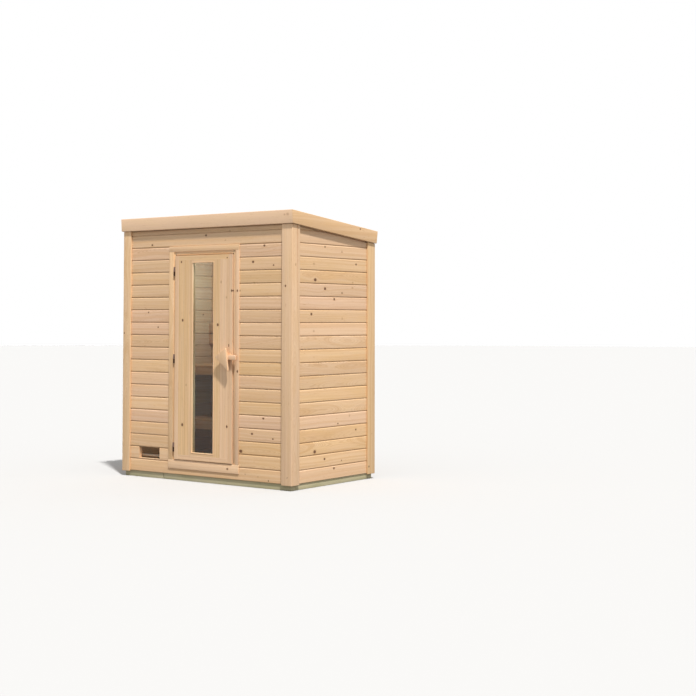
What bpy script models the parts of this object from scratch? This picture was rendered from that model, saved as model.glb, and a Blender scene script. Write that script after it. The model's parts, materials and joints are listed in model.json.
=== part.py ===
"""Outdoor sauna cabin with a single-pitch roof and one framed door.

Metres, +Z up. The front with the door faces -Y, and the origin is on the ground
under the middle of the floor. Every size stands below and is used from there.
"""
import math

import bmesh
import bpy
from mathutils import Matrix, Vector

# Overall sizes over the corner boards
WIDTH = 1.960
DEPTH = 1.192
SEAT_GAP = 0.0003

# Base beams and floor
BASE_HEIGHT = 0.052
BASE_WIDTH = 0.058
BASE_SETBACK = 0.009
JOIST_WIDTH = 0.058
FLOOR_THICKNESS = 0.019
FLOOR_EDGE_GAP = 0.002

# Plank walls
WALL_THICKNESS = 0.038
COURSE_HEIGHT = 0.1112
GROOVE_DEPTH = 0.0055
GROOVE_HALF_HEIGHT = 0.0055

# Corner boards
CORNER_BOARD_THICKNESS = 0.014
CORNER_BOARD_WIDE = 0.110
CORNER_BOARD_NARROW = 0.092
CORNER_BOARD_DROP = 0.009
BOARD_EDGE_RADIUS = 0.0025

# Roof
FASCIA_ABOVE_CASING = 0.1566
ROOF_FALL = 0.0954
FASCIA_HEIGHT = 0.1115
FASCIA_THICKNESS = 0.019
FASCIA_LEAN = 0.0165
FASCIA_EDGE_RADIUS = 0.005
DECK_SIDE_OVERHANG = 0.010
DECK_THICKNESS = 0.045
COVERING_THICKNESS = 0.004
COVERING_BELOW_EDGE = 0.008

# Door opening and casing
DOOR_CENTRE_X = -0.006
DOOR_BOTTOM = 0.184
LEAF_WIDTH = 0.667
LEAF_HEIGHT = 1.787
LEAF_THICKNESS = 0.040
LEAF_BEHIND_CASING = 0.006
LEAF_EDGE_GAP = 0.008
LEAF_STOP_GAP = 0.0055
STILE_LEFT_WIDTH = 0.206
STILE_RIGHT_WIDTH = 0.216
RAIL_TOP_HEIGHT = 0.067
RAIL_BOTTOM_HEIGHT = 0.0695
CASING_WIDTH = 0.048
CASING_THICKNESS = 0.018
STRIP_SIDE = 0.021
STRIP_TOP = 0.0345
FRAME_WIDTH = 0.044
FRAME_STOP_REACH = 0.012
FRAME_INSIDE_REACH = 0.022
GLASS_THICKNESS = 0.008
GLASS_BEHIND_FACE = 0.016
GLASS_GROOVE = 0.010
DOOR_SWING_CLEARANCE = 0.0105

# Hinges
HINGE_HEIGHT = 0.079
HINGE_ABOVE_LEAF_BOTTOM = 0.106
HINGE_BELOW_LEAF_TOP = 0.138
HINGE_MIDDLE_LIFT = 0.002
BARREL_RADIUS = 0.007
PIN_RADIUS = 0.0030
PIN_CLEARANCE = 0.0003
PIN_ROOT = 0.005
PIN_BELOW_TOP = 0.004
BORE_OVERSHOOT = 0.002
BORE_CAP = 0.003
KNUCKLE_GAP = 0.0005
HINGE_PLATE = 0.0025
HINGE_PLATE_REACH = 0.026

# Handle, with its corners given from the leaf's right edge and its bottom
HANDLE_TOP = (-0.0355, 0.983)
HANDLE_LEFT = (-0.1545, 0.907)
HANDLE_BOTTOM = (-0.0095, 0.789)
HANDLE_CORNER_RADIUS = 0.004
HANDLE_PLATE_THICKNESS = 0.018
HANDLE_STANDOFF = 0.028
HANDLE_BLOCK_ACROSS = (-0.1125, 0.0595)
HANDLE_BLOCK_UP = (0.884, 0.925)
HANDLE_BLOCK_CASING_GAP = 0.0055

# Vent slot in one course, and the slider bar behind it
VENT_WIDTH = 0.253
VENT_OFF_CENTRE = -0.006
VENT_COURSE = 1
VENT_EDGE = 0.006
SLIDER_THICKNESS = 0.012
SLIDER_HEIGHT = 0.020
SLIDER_ABOVE_SLOT_BOTTOM = 0.0145
SLIDER_LAP = 0.020

# Benches and backrest, seen dimly through the pane
BENCH_UPPER_TOP = 0.985
BENCH_UPPER_SLATS = 5
BENCH_LOWER_TOP = 0.500
BENCH_LOWER_SLATS = 3
BENCH_LOWER_FORWARD = 0.150
SLAT_WIDTH = 0.094
SLAT_GAP = 0.0125
SLAT_THICKNESS = 0.028
BENCH_FRONT_HEIGHT = 0.090
BEARER_WIDTH = 0.045
BEARER_HEIGHT = 0.045
BEARER_LET_IN = 0.002
BACKREST_TOP = 1.374
BACKREST_SLAT_THICKNESS = 0.018
BACKREST_BATTEN = 0.020

# Making
CUTTER_REACH = 0.3
WELD_DISTANCE = 0.00001
CUT_TOLERANCE = 0.000001
ROUND_SIDES = 24
ARC_STEPS = 3

# Worked out from the sizes above
HALF_WIDTH = WIDTH / 2
HALF_DEPTH = DEPTH / 2
WALL_X = HALF_WIDTH - CORNER_BOARD_THICKNESS
WALL_Y = HALF_DEPTH - CORNER_BOARD_THICKNESS
ROOM_X = WALL_X - WALL_THICKNESS
ROOM_Y = WALL_Y - WALL_THICKNESS
WALL_BOTTOM = BASE_HEIGHT + SEAT_GAP
CORNER_BOTTOM = WALL_BOTTOM - CORNER_BOARD_DROP
FLOOR_TOP = BASE_HEIGHT + SEAT_GAP + FLOOR_THICKNESS
FASCIA_FRONT_Y = -WALL_Y - SEAT_GAP - FASCIA_THICKNESS
FASCIA_SIDE_X = WALL_X + DECK_SIDE_OVERHANG + SEAT_GAP + FASCIA_THICKNESS
LEAF_LEFT = DOOR_CENTRE_X - LEAF_WIDTH / 2
LEAF_RIGHT = DOOR_CENTRE_X + LEAF_WIDTH / 2
LEAF_TOP = DOOR_BOTTOM + LEAF_HEIGHT
CASING_LEFT = LEAF_LEFT - STRIP_SIDE - CASING_WIDTH
CASING_RIGHT = LEAF_RIGHT + STRIP_SIDE + CASING_WIDTH
CASING_TOP = LEAF_TOP + STRIP_TOP + CASING_WIDTH
CASING_BOTTOM = DOOR_BOTTOM - STRIP_TOP - CASING_WIDTH
COURSES_BELOW_TOP = round((CASING_TOP - WALL_BOTTOM) / COURSE_HEIGHT)
ROOF_TOP_FRONT = CASING_TOP + FASCIA_ABOVE_CASING + FASCIA_HEIGHT
CASING_FACE_Y = -WALL_Y - CASING_THICKNESS
LEAF_FACE_Y = CASING_FACE_Y + LEAF_BEHIND_CASING
LEAF_BACK_Y = LEAF_FACE_Y + LEAF_THICKNESS
OPEN_LEFT = LEAF_LEFT - LEAF_EDGE_GAP
OPEN_RIGHT = LEAF_RIGHT + LEAF_EDGE_GAP
OPEN_BOTTOM = DOOR_BOTTOM - LEAF_EDGE_GAP
OPEN_TOP = LEAF_TOP + LEAF_EDGE_GAP
ROUGH_LEFT = OPEN_LEFT - FRAME_WIDTH
ROUGH_RIGHT = OPEN_RIGHT + FRAME_WIDTH
ROUGH_BOTTOM = OPEN_BOTTOM - FRAME_WIDTH
ROUGH_TOP = OPEN_TOP + FRAME_WIDTH
HINGE_X = LEAF_LEFT - DOOR_SWING_CLEARANCE
HINGE_Y = LEAF_FACE_Y
TALL = ROOF_TOP_FRONT + CUTTER_REACH


# Wood, metal and glass
def material(name, colour, roughness, metallic=0.0):
    made = bpy.data.materials.get(name)
    if made is None:
        made = bpy.data.materials.new(name)
        made.use_nodes = True
        shader = made.node_tree.nodes["Principled BSDF"]
        shader.inputs["Base Color"].default_value = (*colour, 1.0)
        shader.inputs["Roughness"].default_value = roughness
        shader.inputs["Metallic"].default_value = metallic
    return made


def wall_wood():
    return material("wall_spruce", (0.68, 0.47, 0.28), 0.65)


def trim_wood():
    return material("trim_spruce", (0.70, 0.50, 0.31), 0.6)


def treated_wood():
    return material("treated_pine", (0.44, 0.42, 0.25), 0.75)


def roofing():
    return material("roof_felt", (0.06, 0.06, 0.06), 0.9)


def hinge_metal():
    return material("hinge_bronze", (0.06, 0.03, 0.02), 0.45, 0.8)


def pane_glass():
    return material("pane_glass", (0.22, 0.25, 0.25), 0.05)


# Collections and placing
def collection(name):
    made = bpy.data.collections.new(name)
    bpy.context.scene.collection.children.link(made)
    return made


def link(name, mesh, home, finish=None, place=(0.0, 0.0, 0.0), parent=None):
    made = bpy.data.objects.new(name, mesh)
    home.objects.link(made)
    made.location = place
    if finish is not None:
        mesh.materials.append(finish)
    if parent is not None:
        made.parent = parent
        made.location = Vector(place) - parent.location
    return made


def finish_mesh(shape, name):
    bmesh.ops.recalc_face_normals(shape, faces=shape.faces)
    mesh = bpy.data.meshes.new(name)
    shape.to_mesh(mesh)
    shape.free()
    return mesh


def box(name, low, high, home, finish=None, parent=None):
    low = Vector(low)
    high = Vector(high)
    shape = bmesh.new()
    bmesh.ops.create_cube(shape, size=1.0)
    bmesh.ops.scale(shape, vec=high - low, verts=shape.verts)
    return link(name, finish_mesh(shape, name), home, finish, (low + high) / 2, parent)


def post(name, centre, radius, bottom, top, home, finish=None, parent=None):
    shape = bmesh.new()
    bmesh.ops.create_cone(shape, cap_ends=True, segments=ROUND_SIDES, radius1=radius, radius2=radius,
                          depth=top - bottom)
    place = (centre[0], centre[1], (bottom + top) / 2)
    return link(name, finish_mesh(shape, name), home, finish, place, parent)


def rounded(corners, radius):
    """Outline through corners (across, up, soft), with an arc of the radius at each soft one."""
    points = []
    for index, (across, up, soft) in enumerate(corners):
        corner = Vector((across, up))
        if not soft:
            points.append(corner)
            continue
        before = (Vector(corners[index - 1][:2]) - corner).normalized()
        after = (Vector(corners[(index + 1) % len(corners)][:2]) - corner).normalized()
        half_angle = before.angle(after) / 2
        centre = corner + (before + after).normalized() * radius / math.sin(half_angle)
        reach = radius / math.tan(half_angle)
        first = corner + before * reach - centre
        last = corner + after * reach - centre
        for step in range(ARC_STEPS + 1):
            points.append(centre + first.lerp(last, step / ARC_STEPS).normalized() * radius)
    return points


def prism(name, outline, along, start, end, home, finish=None, parent=None):
    """A flat outline drawn across one axis and pushed along it, as a solid mesh.

    along is "X" (outline in Y, Z), "Y" (outline in X, Z) or "Z" (outline in X, Y).
    """
    turn = {
        "X": Matrix(((0, 0, 1), (1, 0, 0), (0, 1, 0))),
        "Y": Matrix(((1, 0, 0), (0, 0, 1), (0, 1, 0))),
        "Z": Matrix.Identity(3),
    }[along]
    curve = bpy.data.curves.new(name, "CURVE")
    curve.dimensions = "2D"
    curve.fill_mode = "BOTH"
    curve.extrude = (end - start) / 2
    spline = curve.splines.new("POLY")
    spline.points.add(len(outline) - 1)
    for point, (across, up) in zip(spline.points, outline):
        point.co = (across, up, 0.0, 1.0)
    spline.use_cyclic_u = True
    drawn = bpy.data.objects.new(name + "_outline", curve)
    home.objects.link(drawn)
    bpy.context.view_layer.update()
    seen = drawn.evaluated_get(bpy.context.evaluated_depsgraph_get())
    mesh = bpy.data.meshes.new_from_object(seen)
    shape = bmesh.new()
    shape.from_mesh(mesh)
    bmesh.ops.remove_doubles(shape, verts=shape.verts, dist=WELD_DISTANCE)
    bmesh.ops.translate(shape, verts=shape.verts, vec=(0.0, 0.0, (start + end) / 2))
    bmesh.ops.transform(shape, matrix=turn.to_4x4(), verts=shape.verts)
    bpy.data.objects.remove(drawn)
    bpy.data.curves.remove(curve)
    bpy.data.meshes.remove(mesh)
    mesh = finish_mesh(shape, name)
    if parent is not None:
        mesh.transform(Matrix.Translation(-parent.location))
        return link(name, mesh, home, finish, parent.location, parent)
    return link(name, mesh, home, finish)


def face_board(outer, inner, low, high):
    """Section of a board: its outer face with two soft edges, and its flat back."""
    return rounded([(low, outer, True), (high, outer, True), (high, inner, False), (low, inner, False)],
                   BOARD_EDGE_RADIUS)


def swap(outline):
    return [(up, across) for across, up in outline]


def hide_cutter(cutter):
    cutter.hide_render = True
    cutter.display_type = "WIRE"
    return cutter


def cut(target, cutter):
    step = target.modifiers.new("cut_" + cutter.name, "BOOLEAN")
    step.operation = "DIFFERENCE"
    step.solver = "EXACT"
    step.object = cutter


def join(target, other):
    step = target.modifiers.new("join_" + other.name, "BOOLEAN")
    step.operation = "UNION"
    step.solver = "EXACT"
    step.object = other


# The roof's slope
def roof_line(y):
    """Height of the fascia's top edge over the line y."""
    return ROOF_TOP_FRONT - ROOF_FALL * (y - FASCIA_FRONT_Y + FASCIA_LEAN)


def above_line(name, drop, cutters):
    """A cutter that takes away all that lies above the roof line less drop."""
    reach = HALF_DEPTH + CUTTER_REACH
    outline = [(-reach, roof_line(-reach) - drop), (reach, roof_line(reach) - drop),
               (reach, TALL), (-reach, TALL)]
    return hide_cutter(prism(name, outline, "X", -WIDTH, WIDTH, cutters))


def sloping_board(name, drop, thickness, y_low, y_high, x_low, x_high, home, finish):
    """A slab that follows the roof, its top face at drop below the fascia's top edge."""
    outline = [(y_low, roof_line(y_low) - drop - thickness), (y_high, roof_line(y_high) - drop - thickness),
               (y_high, roof_line(y_high) - drop), (y_low, roof_line(y_low) - drop)]
    return prism(name, outline, "X", x_low, x_high, home, finish)


# Base and floor
def build_base(home):
    beam_x = WALL_X - BASE_SETBACK
    beam_y = WALL_Y - BASE_SETBACK
    finish = treated_wood()
    for side, name in ((-1, "base_beam_front"), (1, "base_beam_back")):
        edges = sorted((side * beam_y, side * (beam_y - BASE_WIDTH)))
        box(name, (-beam_x, edges[0], 0), (beam_x, edges[1], BASE_HEIGHT), home, finish)
    inner_y = beam_y - BASE_WIDTH - SEAT_GAP
    for side, name in ((-1, "base_beam_left"), (1, "base_beam_right")):
        edges = sorted((side * beam_x, side * (beam_x - BASE_WIDTH)))
        box(name, (edges[0], -inner_y, 0), (edges[1], inner_y, BASE_HEIGHT), home, finish)
    box("base_joist_middle", (-JOIST_WIDTH / 2, -inner_y, 0), (JOIST_WIDTH / 2, inner_y, BASE_HEIGHT),
        home, finish)
    edge_x = ROOM_X - FLOOR_EDGE_GAP
    edge_y = ROOM_Y - FLOOR_EDGE_GAP
    box("floor", (-edge_x, -edge_y, BASE_HEIGHT + SEAT_GAP), (edge_x, edge_y, FLOOR_TOP), home, wall_wood())


# Plank walls, drawn as one grooved profile each
def joint_height(course):
    """Height of the joint on top of a course, counted from 1 at the bottom."""
    return WALL_BOTTOM + course * COURSE_HEIGHT


def plank_profile(bottom, top):
    """Outline across a wall: depth from the outer face (0) to the inner face, and height."""
    joints = [joint_height(course) for course in range(1, COURSES_BELOW_TOP + 1)]
    joints = [joint for joint in joints if bottom + GROOVE_HALF_HEIGHT < joint < top - GROOVE_HALF_HEIGHT]
    outer = [(0.0, bottom)]
    inner = [(WALL_THICKNESS, bottom)]
    for joint in joints:
        for shift, depth in ((-GROOVE_HALF_HEIGHT, 0.0), (0.0, GROOVE_DEPTH), (GROOVE_HALF_HEIGHT, 0.0)):
            outer.append((depth, joint + shift))
            inner.append((WALL_THICKNESS - depth, joint + shift))
    outer.append((0.0, top))
    inner.append((WALL_THICKNESS, top))
    return outer + inner[::-1]


def front_or_back_wall(name, side, x_low, x_high, bottom, top, home):
    outline = [(side * (WALL_Y - depth), height) for depth, height in plank_profile(bottom, top)]
    return prism(name, outline, "X", x_low, x_high, home, wall_wood())


def side_wall(name, side, bottom, top, home):
    inner_y = ROOM_Y - SEAT_GAP
    outline = [(side * (WALL_X - depth), height) for depth, height in plank_profile(bottom, top)]
    return prism(name, outline, "Y", -inner_y, inner_y, home, wall_wood())


def build_walls(home, cutters):
    under_deck = above_line("space_over_walls", deck_drop() + DECK_THICKNESS + SEAT_GAP, cutters)
    left = front_or_back_wall("front_wall_left", -1, -WALL_X, ROUGH_LEFT - SEAT_GAP, WALL_BOTTOM, TALL, home)
    right = front_or_back_wall("front_wall_right", -1, ROUGH_RIGHT + SEAT_GAP, WALL_X, WALL_BOTTOM, TALL, home)
    over = front_or_back_wall("front_wall_over_door", -1, ROUGH_LEFT, ROUGH_RIGHT, ROUGH_TOP + SEAT_GAP, TALL,
                              home)
    front_or_back_wall("front_wall_under_door", -1, ROUGH_LEFT, ROUGH_RIGHT, WALL_BOTTOM,
                       ROUGH_BOTTOM - SEAT_GAP, home)
    back = front_or_back_wall("back_wall", 1, -WALL_X, WALL_X, WALL_BOTTOM, TALL, home)
    left_side = side_wall("left_wall", -1, WALL_BOTTOM, TALL, home)
    right_side = side_wall("right_wall", 1, WALL_BOTTOM, TALL, home)
    for wall in (left, right, over, back, left_side, right_side):
        cut(wall, under_deck)
    build_vent(left, home, cutters)


def build_vent(wall, home, cutters):
    """A slot midway between the corner board and the door casing, and its bar on the inner face."""
    panel_left = -HALF_WIDTH + CORNER_BOARD_NARROW
    centre = (panel_left + CASING_LEFT) / 2 + VENT_OFF_CENTRE
    left = centre - VENT_WIDTH / 2
    right = centre + VENT_WIDTH / 2
    bottom = joint_height(VENT_COURSE) + VENT_EDGE
    top = joint_height(VENT_COURSE + 1) - VENT_EDGE
    slot = box("vent_slot", (left, -WALL_Y - WALL_THICKNESS, bottom), (right, -ROOM_Y + WALL_THICKNESS, top),
               cutters)
    cut(wall, hide_cutter(slot))
    seat = -ROOM_Y + SEAT_GAP
    bar_bottom = bottom + SLIDER_ABOVE_SLOT_BOTTOM
    box("vent_slider", (left - SLIDER_LAP, seat, bar_bottom),
        (right + SLIDER_LAP, seat + SLIDER_THICKNESS, bar_bottom + SLIDER_HEIGHT), home, trim_wood())


# Corner boards, a wide one and a narrow one at each corner
def build_corner_boards(home, cutters):
    under_fascia = above_line("space_over_corner_boards", FASCIA_HEIGHT + SEAT_GAP, cutters)
    wall_x = WALL_X + SEAT_GAP
    wall_y = WALL_Y + SEAT_GAP
    lapped = WALL_Y - SEAT_GAP
    on_front_or_back = {
        "corner_board_front_left": (-1, -HALF_WIDTH, -HALF_WIDTH + CORNER_BOARD_NARROW),
        "corner_board_front_right": (-1, HALF_WIDTH - CORNER_BOARD_WIDE, HALF_WIDTH),
        "corner_board_back_right": (1, WALL_X - CORNER_BOARD_NARROW, WALL_X - SEAT_GAP),
        "corner_board_back_left": (1, -HALF_WIDTH, -HALF_WIDTH + CORNER_BOARD_WIDE),
    }
    on_sides = {
        "corner_board_right_front": (1, -lapped, -lapped + CORNER_BOARD_NARROW),
        "corner_board_right_back": (1, HALF_DEPTH - CORNER_BOARD_WIDE, HALF_DEPTH),
        "corner_board_left_back": (-1, WALL_Y - CORNER_BOARD_NARROW, lapped),
        "corner_board_left_front": (-1, -lapped, -lapped + CORNER_BOARD_WIDE),
    }
    boards = {name: face_board(side * HALF_DEPTH, side * wall_y, low, high)
              for name, (side, low, high) in on_front_or_back.items()}
    boards.update({name: swap(face_board(side * HALF_WIDTH, side * wall_x, low, high))
                   for name, (side, low, high) in on_sides.items()})
    for name, plan in boards.items():
        cut(prism(name, plan, "Z", CORNER_BOTTOM, TALL, home, trim_wood()), under_fascia)


# Roof deck, covering and fascias
def deck_drop():
    return COVERING_BELOW_EDGE + COVERING_THICKNESS + SEAT_GAP


def mitre_plane(side_x, side_y):
    """Corner of two fascias: a point on the corner line and the normal towards the side board."""
    reach_y = side_y * -FASCIA_FRONT_Y
    low = Vector((side_x * FASCIA_SIDE_X, reach_y, roof_line(reach_y) - FASCIA_HEIGHT))
    lean = Vector((0.0, side_y * FASCIA_LEAN, FASCIA_HEIGHT))
    inward = Vector((-side_x, -side_y, 0.0))
    normal = lean.cross(inward).normalized()
    if normal.x * side_x < 0:
        normal = -normal
    return low, normal


def trim_end(piece, point, normal):
    """Cut a board's end off square to the mitre plane, keeping the side against the normal."""
    shape = bmesh.new()
    shape.from_mesh(piece.data)
    everything = shape.verts[:] + shape.edges[:] + shape.faces[:]
    cut_now = bmesh.ops.bisect_plane(shape, geom=everything, dist=CUT_TOLERANCE, plane_co=point,
                                     plane_no=normal, clear_outer=True)
    rim = [item for item in cut_now["geom_cut"] if isinstance(item, bmesh.types.BMEdge)]
    bmesh.ops.contextual_create(shape, geom=rim)
    bmesh.ops.recalc_face_normals(shape, faces=shape.faces)
    shape.to_mesh(piece.data)
    shape.free()


def build_fascias(home):
    """The front and back boards lean out at the top, the side boards stand upright on the slope."""
    for side_y, name in ((-1, "fascia_front"), (1, "fascia_back")):
        low_y = side_y * -FASCIA_FRONT_Y
        inner = low_y - side_y * FASCIA_THICKNESS
        lean = side_y * FASCIA_LEAN
        outline = rounded([(low_y, roof_line(low_y) - FASCIA_HEIGHT, True),
                           (low_y + lean, roof_line(low_y + lean), True),
                           (inner + lean, roof_line(inner + lean), False),
                           (inner, roof_line(inner) - FASCIA_HEIGHT, False)], FASCIA_EDGE_RADIUS)
        reach = FASCIA_SIDE_X + CUTTER_REACH
        board = prism(name, outline, "X", -reach, reach, home, trim_wood())
        for side_x in (-1, 1):
            point, normal = mitre_plane(side_x, side_y)
            trim_end(board, point - normal * SEAT_GAP / 2, normal)
    slope = Matrix.Identity(4)
    slope[2][1] = -ROOF_FALL
    for side_x, name in ((-1, "fascia_left"), (1, "fascia_right")):
        outer = side_x * FASCIA_SIDE_X
        inner = side_x * (FASCIA_SIDE_X - FASCIA_THICKNESS)
        top = roof_line(0.0)
        outline = rounded([(outer, top - FASCIA_HEIGHT, True), (outer, top, True), (inner, top, False),
                           (inner, top - FASCIA_HEIGHT, False)], FASCIA_EDGE_RADIUS)
        reach = HALF_DEPTH + CUTTER_REACH
        board = prism(name, outline, "Y", -reach, reach, home, trim_wood())
        board.data.transform(slope)
        for side_y in (-1, 1):
            point, normal = mitre_plane(side_x, side_y)
            trim_end(board, point + normal * SEAT_GAP / 2, -normal)


def build_roof(home):
    drop = deck_drop()
    edge_x = FASCIA_SIDE_X - FASCIA_THICKNESS - SEAT_GAP
    lean_at_deck = FASCIA_LEAN * (1 - (drop + DECK_THICKNESS) / FASCIA_HEIGHT)
    edge_y = -FASCIA_FRONT_Y - FASCIA_THICKNESS + lean_at_deck - SEAT_GAP
    sloping_board("roof_deck", drop, DECK_THICKNESS, -edge_y, edge_y, -edge_x, edge_x, home, wall_wood())
    sloping_board("roof_covering", COVERING_BELOW_EDGE, COVERING_THICKNESS, -edge_y, edge_y, -edge_x, edge_x,
                  home, roofing())
    build_fascias(home)


# Door lining and casing
def frame_outline(outer, opening, sign):
    """Plan or section of one lining piece: a rebate for the leaf, and a stop behind it."""
    stop_front = LEAF_BACK_Y + LEAF_STOP_GAP
    back = -ROOM_Y + FRAME_INSIDE_REACH
    stop_edge = opening + sign * FRAME_STOP_REACH + sign * LEAF_EDGE_GAP
    return [(outer, -WALL_Y), (opening, -WALL_Y), (opening, stop_front), (stop_edge, stop_front),
            (stop_edge, back), (outer, back)]


def build_door_frame(home):
    finish = trim_wood()
    left = frame_outline(ROUGH_LEFT + SEAT_GAP, OPEN_LEFT, 1)
    right = frame_outline(ROUGH_RIGHT - SEAT_GAP, OPEN_RIGHT, -1)
    head = swap(frame_outline(ROUGH_TOP, OPEN_TOP, -1))
    sill = swap(frame_outline(ROUGH_BOTTOM, OPEN_BOTTOM, 1))
    stop_reach = FRAME_STOP_REACH + LEAF_EDGE_GAP + SEAT_GAP
    prism("door_frame_left", left, "Z", ROUGH_BOTTOM, ROUGH_TOP, home, finish)
    prism("door_frame_right", right, "Z", ROUGH_BOTTOM, ROUGH_TOP, home, finish)
    prism("door_frame_head", head, "X", OPEN_LEFT + stop_reach, OPEN_RIGHT - stop_reach, home, finish)
    prism("door_frame_sill", sill, "X", OPEN_LEFT + stop_reach, OPEN_RIGHT - stop_reach, home, finish)


def build_casing(home):
    finish = trim_wood()
    back = -WALL_Y - SEAT_GAP
    inner_bottom = CASING_BOTTOM + CASING_WIDTH
    inner_top = CASING_TOP - CASING_WIDTH
    uprights = {"door_casing_left": (CASING_LEFT, CASING_LEFT + CASING_WIDTH),
                "door_casing_right": (CASING_RIGHT - CASING_WIDTH, CASING_RIGHT)}
    for name, (low, high) in uprights.items():
        plan = face_board(CASING_FACE_Y, back, low, high)
        prism(name, plan, "Z", inner_bottom + SEAT_GAP, inner_top - SEAT_GAP, home, finish)
    cross_pieces = {"door_casing_head": (inner_top, CASING_TOP),
                    "door_casing_sill": (CASING_BOTTOM, inner_bottom)}
    for name, (low, high) in cross_pieces.items():
        section = swap(face_board(CASING_FACE_Y, back, low, high))
        prism(name, section, "X", CASING_LEFT, CASING_RIGHT, home, finish)


# Door leaf
def build_leaf(home, cutters, axis):
    finish = trim_wood()
    face = LEAF_FACE_Y
    back = LEAF_BACK_Y
    glass_left = LEAF_LEFT + STILE_LEFT_WIDTH
    glass_right = LEAF_RIGHT - STILE_RIGHT_WIDTH
    glass_bottom = DOOR_BOTTOM + RAIL_BOTTOM_HEIGHT
    glass_top = LEAF_TOP - RAIL_TOP_HEIGHT
    left_plan = rounded([(LEAF_LEFT, face, True), (glass_left, face, False), (glass_left, back, False),
                         (LEAF_LEFT, back, False)], BOARD_EDGE_RADIUS)
    right_plan = rounded([(glass_right, face, False), (LEAF_RIGHT, face, True), (LEAF_RIGHT, back, False),
                          (glass_right, back, False)], BOARD_EDGE_RADIUS)
    rail_left = glass_left + SEAT_GAP
    rail_right = glass_right - SEAT_GAP
    pieces = [prism("door_stile_left", left_plan, "Z", DOOR_BOTTOM, LEAF_TOP, home, finish, axis),
              prism("door_stile_right", right_plan, "Z", DOOR_BOTTOM, LEAF_TOP, home, finish, axis),
              box("door_rail_bottom", (rail_left, face, DOOR_BOTTOM), (rail_right, back, glass_bottom),
                  home, finish, axis),
              box("door_rail_top", (rail_left, face, glass_top), (rail_right, back, LEAF_TOP),
                  home, finish, axis)]
    pane_low = Vector((glass_left - GLASS_GROOVE, face + GLASS_BEHIND_FACE, glass_bottom - GLASS_GROOVE))
    pane_high = Vector((glass_right + GLASS_GROOVE, face + GLASS_BEHIND_FACE + GLASS_THICKNESS,
                        glass_top + GLASS_GROOVE))
    room = Vector((SEAT_GAP, SEAT_GAP, SEAT_GAP))
    groove = hide_cutter(box("pane_groove", pane_low - room, pane_high + room, cutters, None, axis))
    for piece in pieces:
        cut(piece, groove)
    box("door_glass", pane_low, pane_high, home, pane_glass(), axis)


def build_handle(home, axis):
    plate_back = LEAF_FACE_Y - HANDLE_STANDOFF
    corners = [(LEAF_RIGHT + across, DOOR_BOTTOM + up, True)
               for across, up in (HANDLE_TOP, HANDLE_LEFT, HANDLE_BOTTOM)]
    outline = rounded(corners, HANDLE_CORNER_RADIUS)
    prism("door_handle", outline, "Y", plate_back - HANDLE_PLATE_THICKNESS, plate_back, home, trim_wood(), axis)
    left, right = [LEAF_RIGHT + across for across in HANDLE_BLOCK_ACROSS]
    low, high = [DOOR_BOTTOM + up for up in HANDLE_BLOCK_UP]
    front = plate_back + SEAT_GAP
    seat = LEAF_FACE_Y - SEAT_GAP
    over_casing = CASING_FACE_Y - HANDLE_BLOCK_CASING_GAP
    plan = [(left, front), (right, front), (right, over_casing), (LEAF_RIGHT, over_casing),
            (LEAF_RIGHT, seat), (left, seat)]
    prism("door_handle_block", plan, "Z", low, high, home, trim_wood(), axis)


# Hinges: the lower knuckle with its pin is on the lining, the upper one on the leaf
def build_hinge(name, centre_z, home, cutters, axis):
    centre = (HINGE_X, HINGE_Y)
    bottom = centre_z - HINGE_HEIGHT / 2
    top = centre_z + HINGE_HEIGHT / 2
    lower_top = centre_z - KNUCKLE_GAP / 2
    upper_bottom = centre_z + KNUCKLE_GAP / 2
    metal = hinge_metal()
    fixed = post("hinge_%s_frame_half" % name, centre, BARREL_RADIUS, bottom, lower_top, home, metal)
    foot = box("hinge_%s_foot" % name, (HINGE_X - BARREL_RADIUS / 2, HINGE_Y, bottom),
               (OPEN_LEFT - PIN_CLEARANCE, -WALL_Y - SEAT_GAP, lower_top), cutters)
    pin = post("hinge_%s_pin" % name, centre, PIN_RADIUS, lower_top - PIN_ROOT, top - PIN_BELOW_TOP, cutters)
    join(fixed, hide_cutter(foot))
    join(fixed, hide_cutter(pin))
    moving = post("hinge_%s_leaf_half" % name, centre, BARREL_RADIUS, upper_bottom, top, home, metal, axis)
    wing = box("hinge_%s_wing" % name, (HINGE_X, HINGE_Y + SEAT_GAP, upper_bottom),
               (LEAF_LEFT - SEAT_GAP, HINGE_Y + HINGE_PLATE, top), cutters, None, axis)
    plate = box("hinge_%s_plate" % name, (LEAF_LEFT - SEAT_GAP - HINGE_PLATE, HINGE_Y + SEAT_GAP, upper_bottom),
                (LEAF_LEFT - SEAT_GAP, HINGE_Y + HINGE_PLATE_REACH, top), cutters, None, axis)
    bore = post("hinge_%s_bore" % name, centre, PIN_RADIUS + PIN_CLEARANCE, upper_bottom - BORE_OVERSHOOT,
                top - BORE_CAP, cutters, None, axis)
    join(moving, hide_cutter(wing))
    join(moving, hide_cutter(plate))
    cut(moving, hide_cutter(bore))


# Benches of slats joined by the bearers that carry them, and the backrest
def spread(count):
    """Middles of the bearers along the room: one by each side wall and the rest evenly between."""
    end = ROOM_X - SEAT_GAP - BEARER_WIDTH / 2
    return [-end + 2 * end * place / (count - 1) for place in range(count)]


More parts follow.
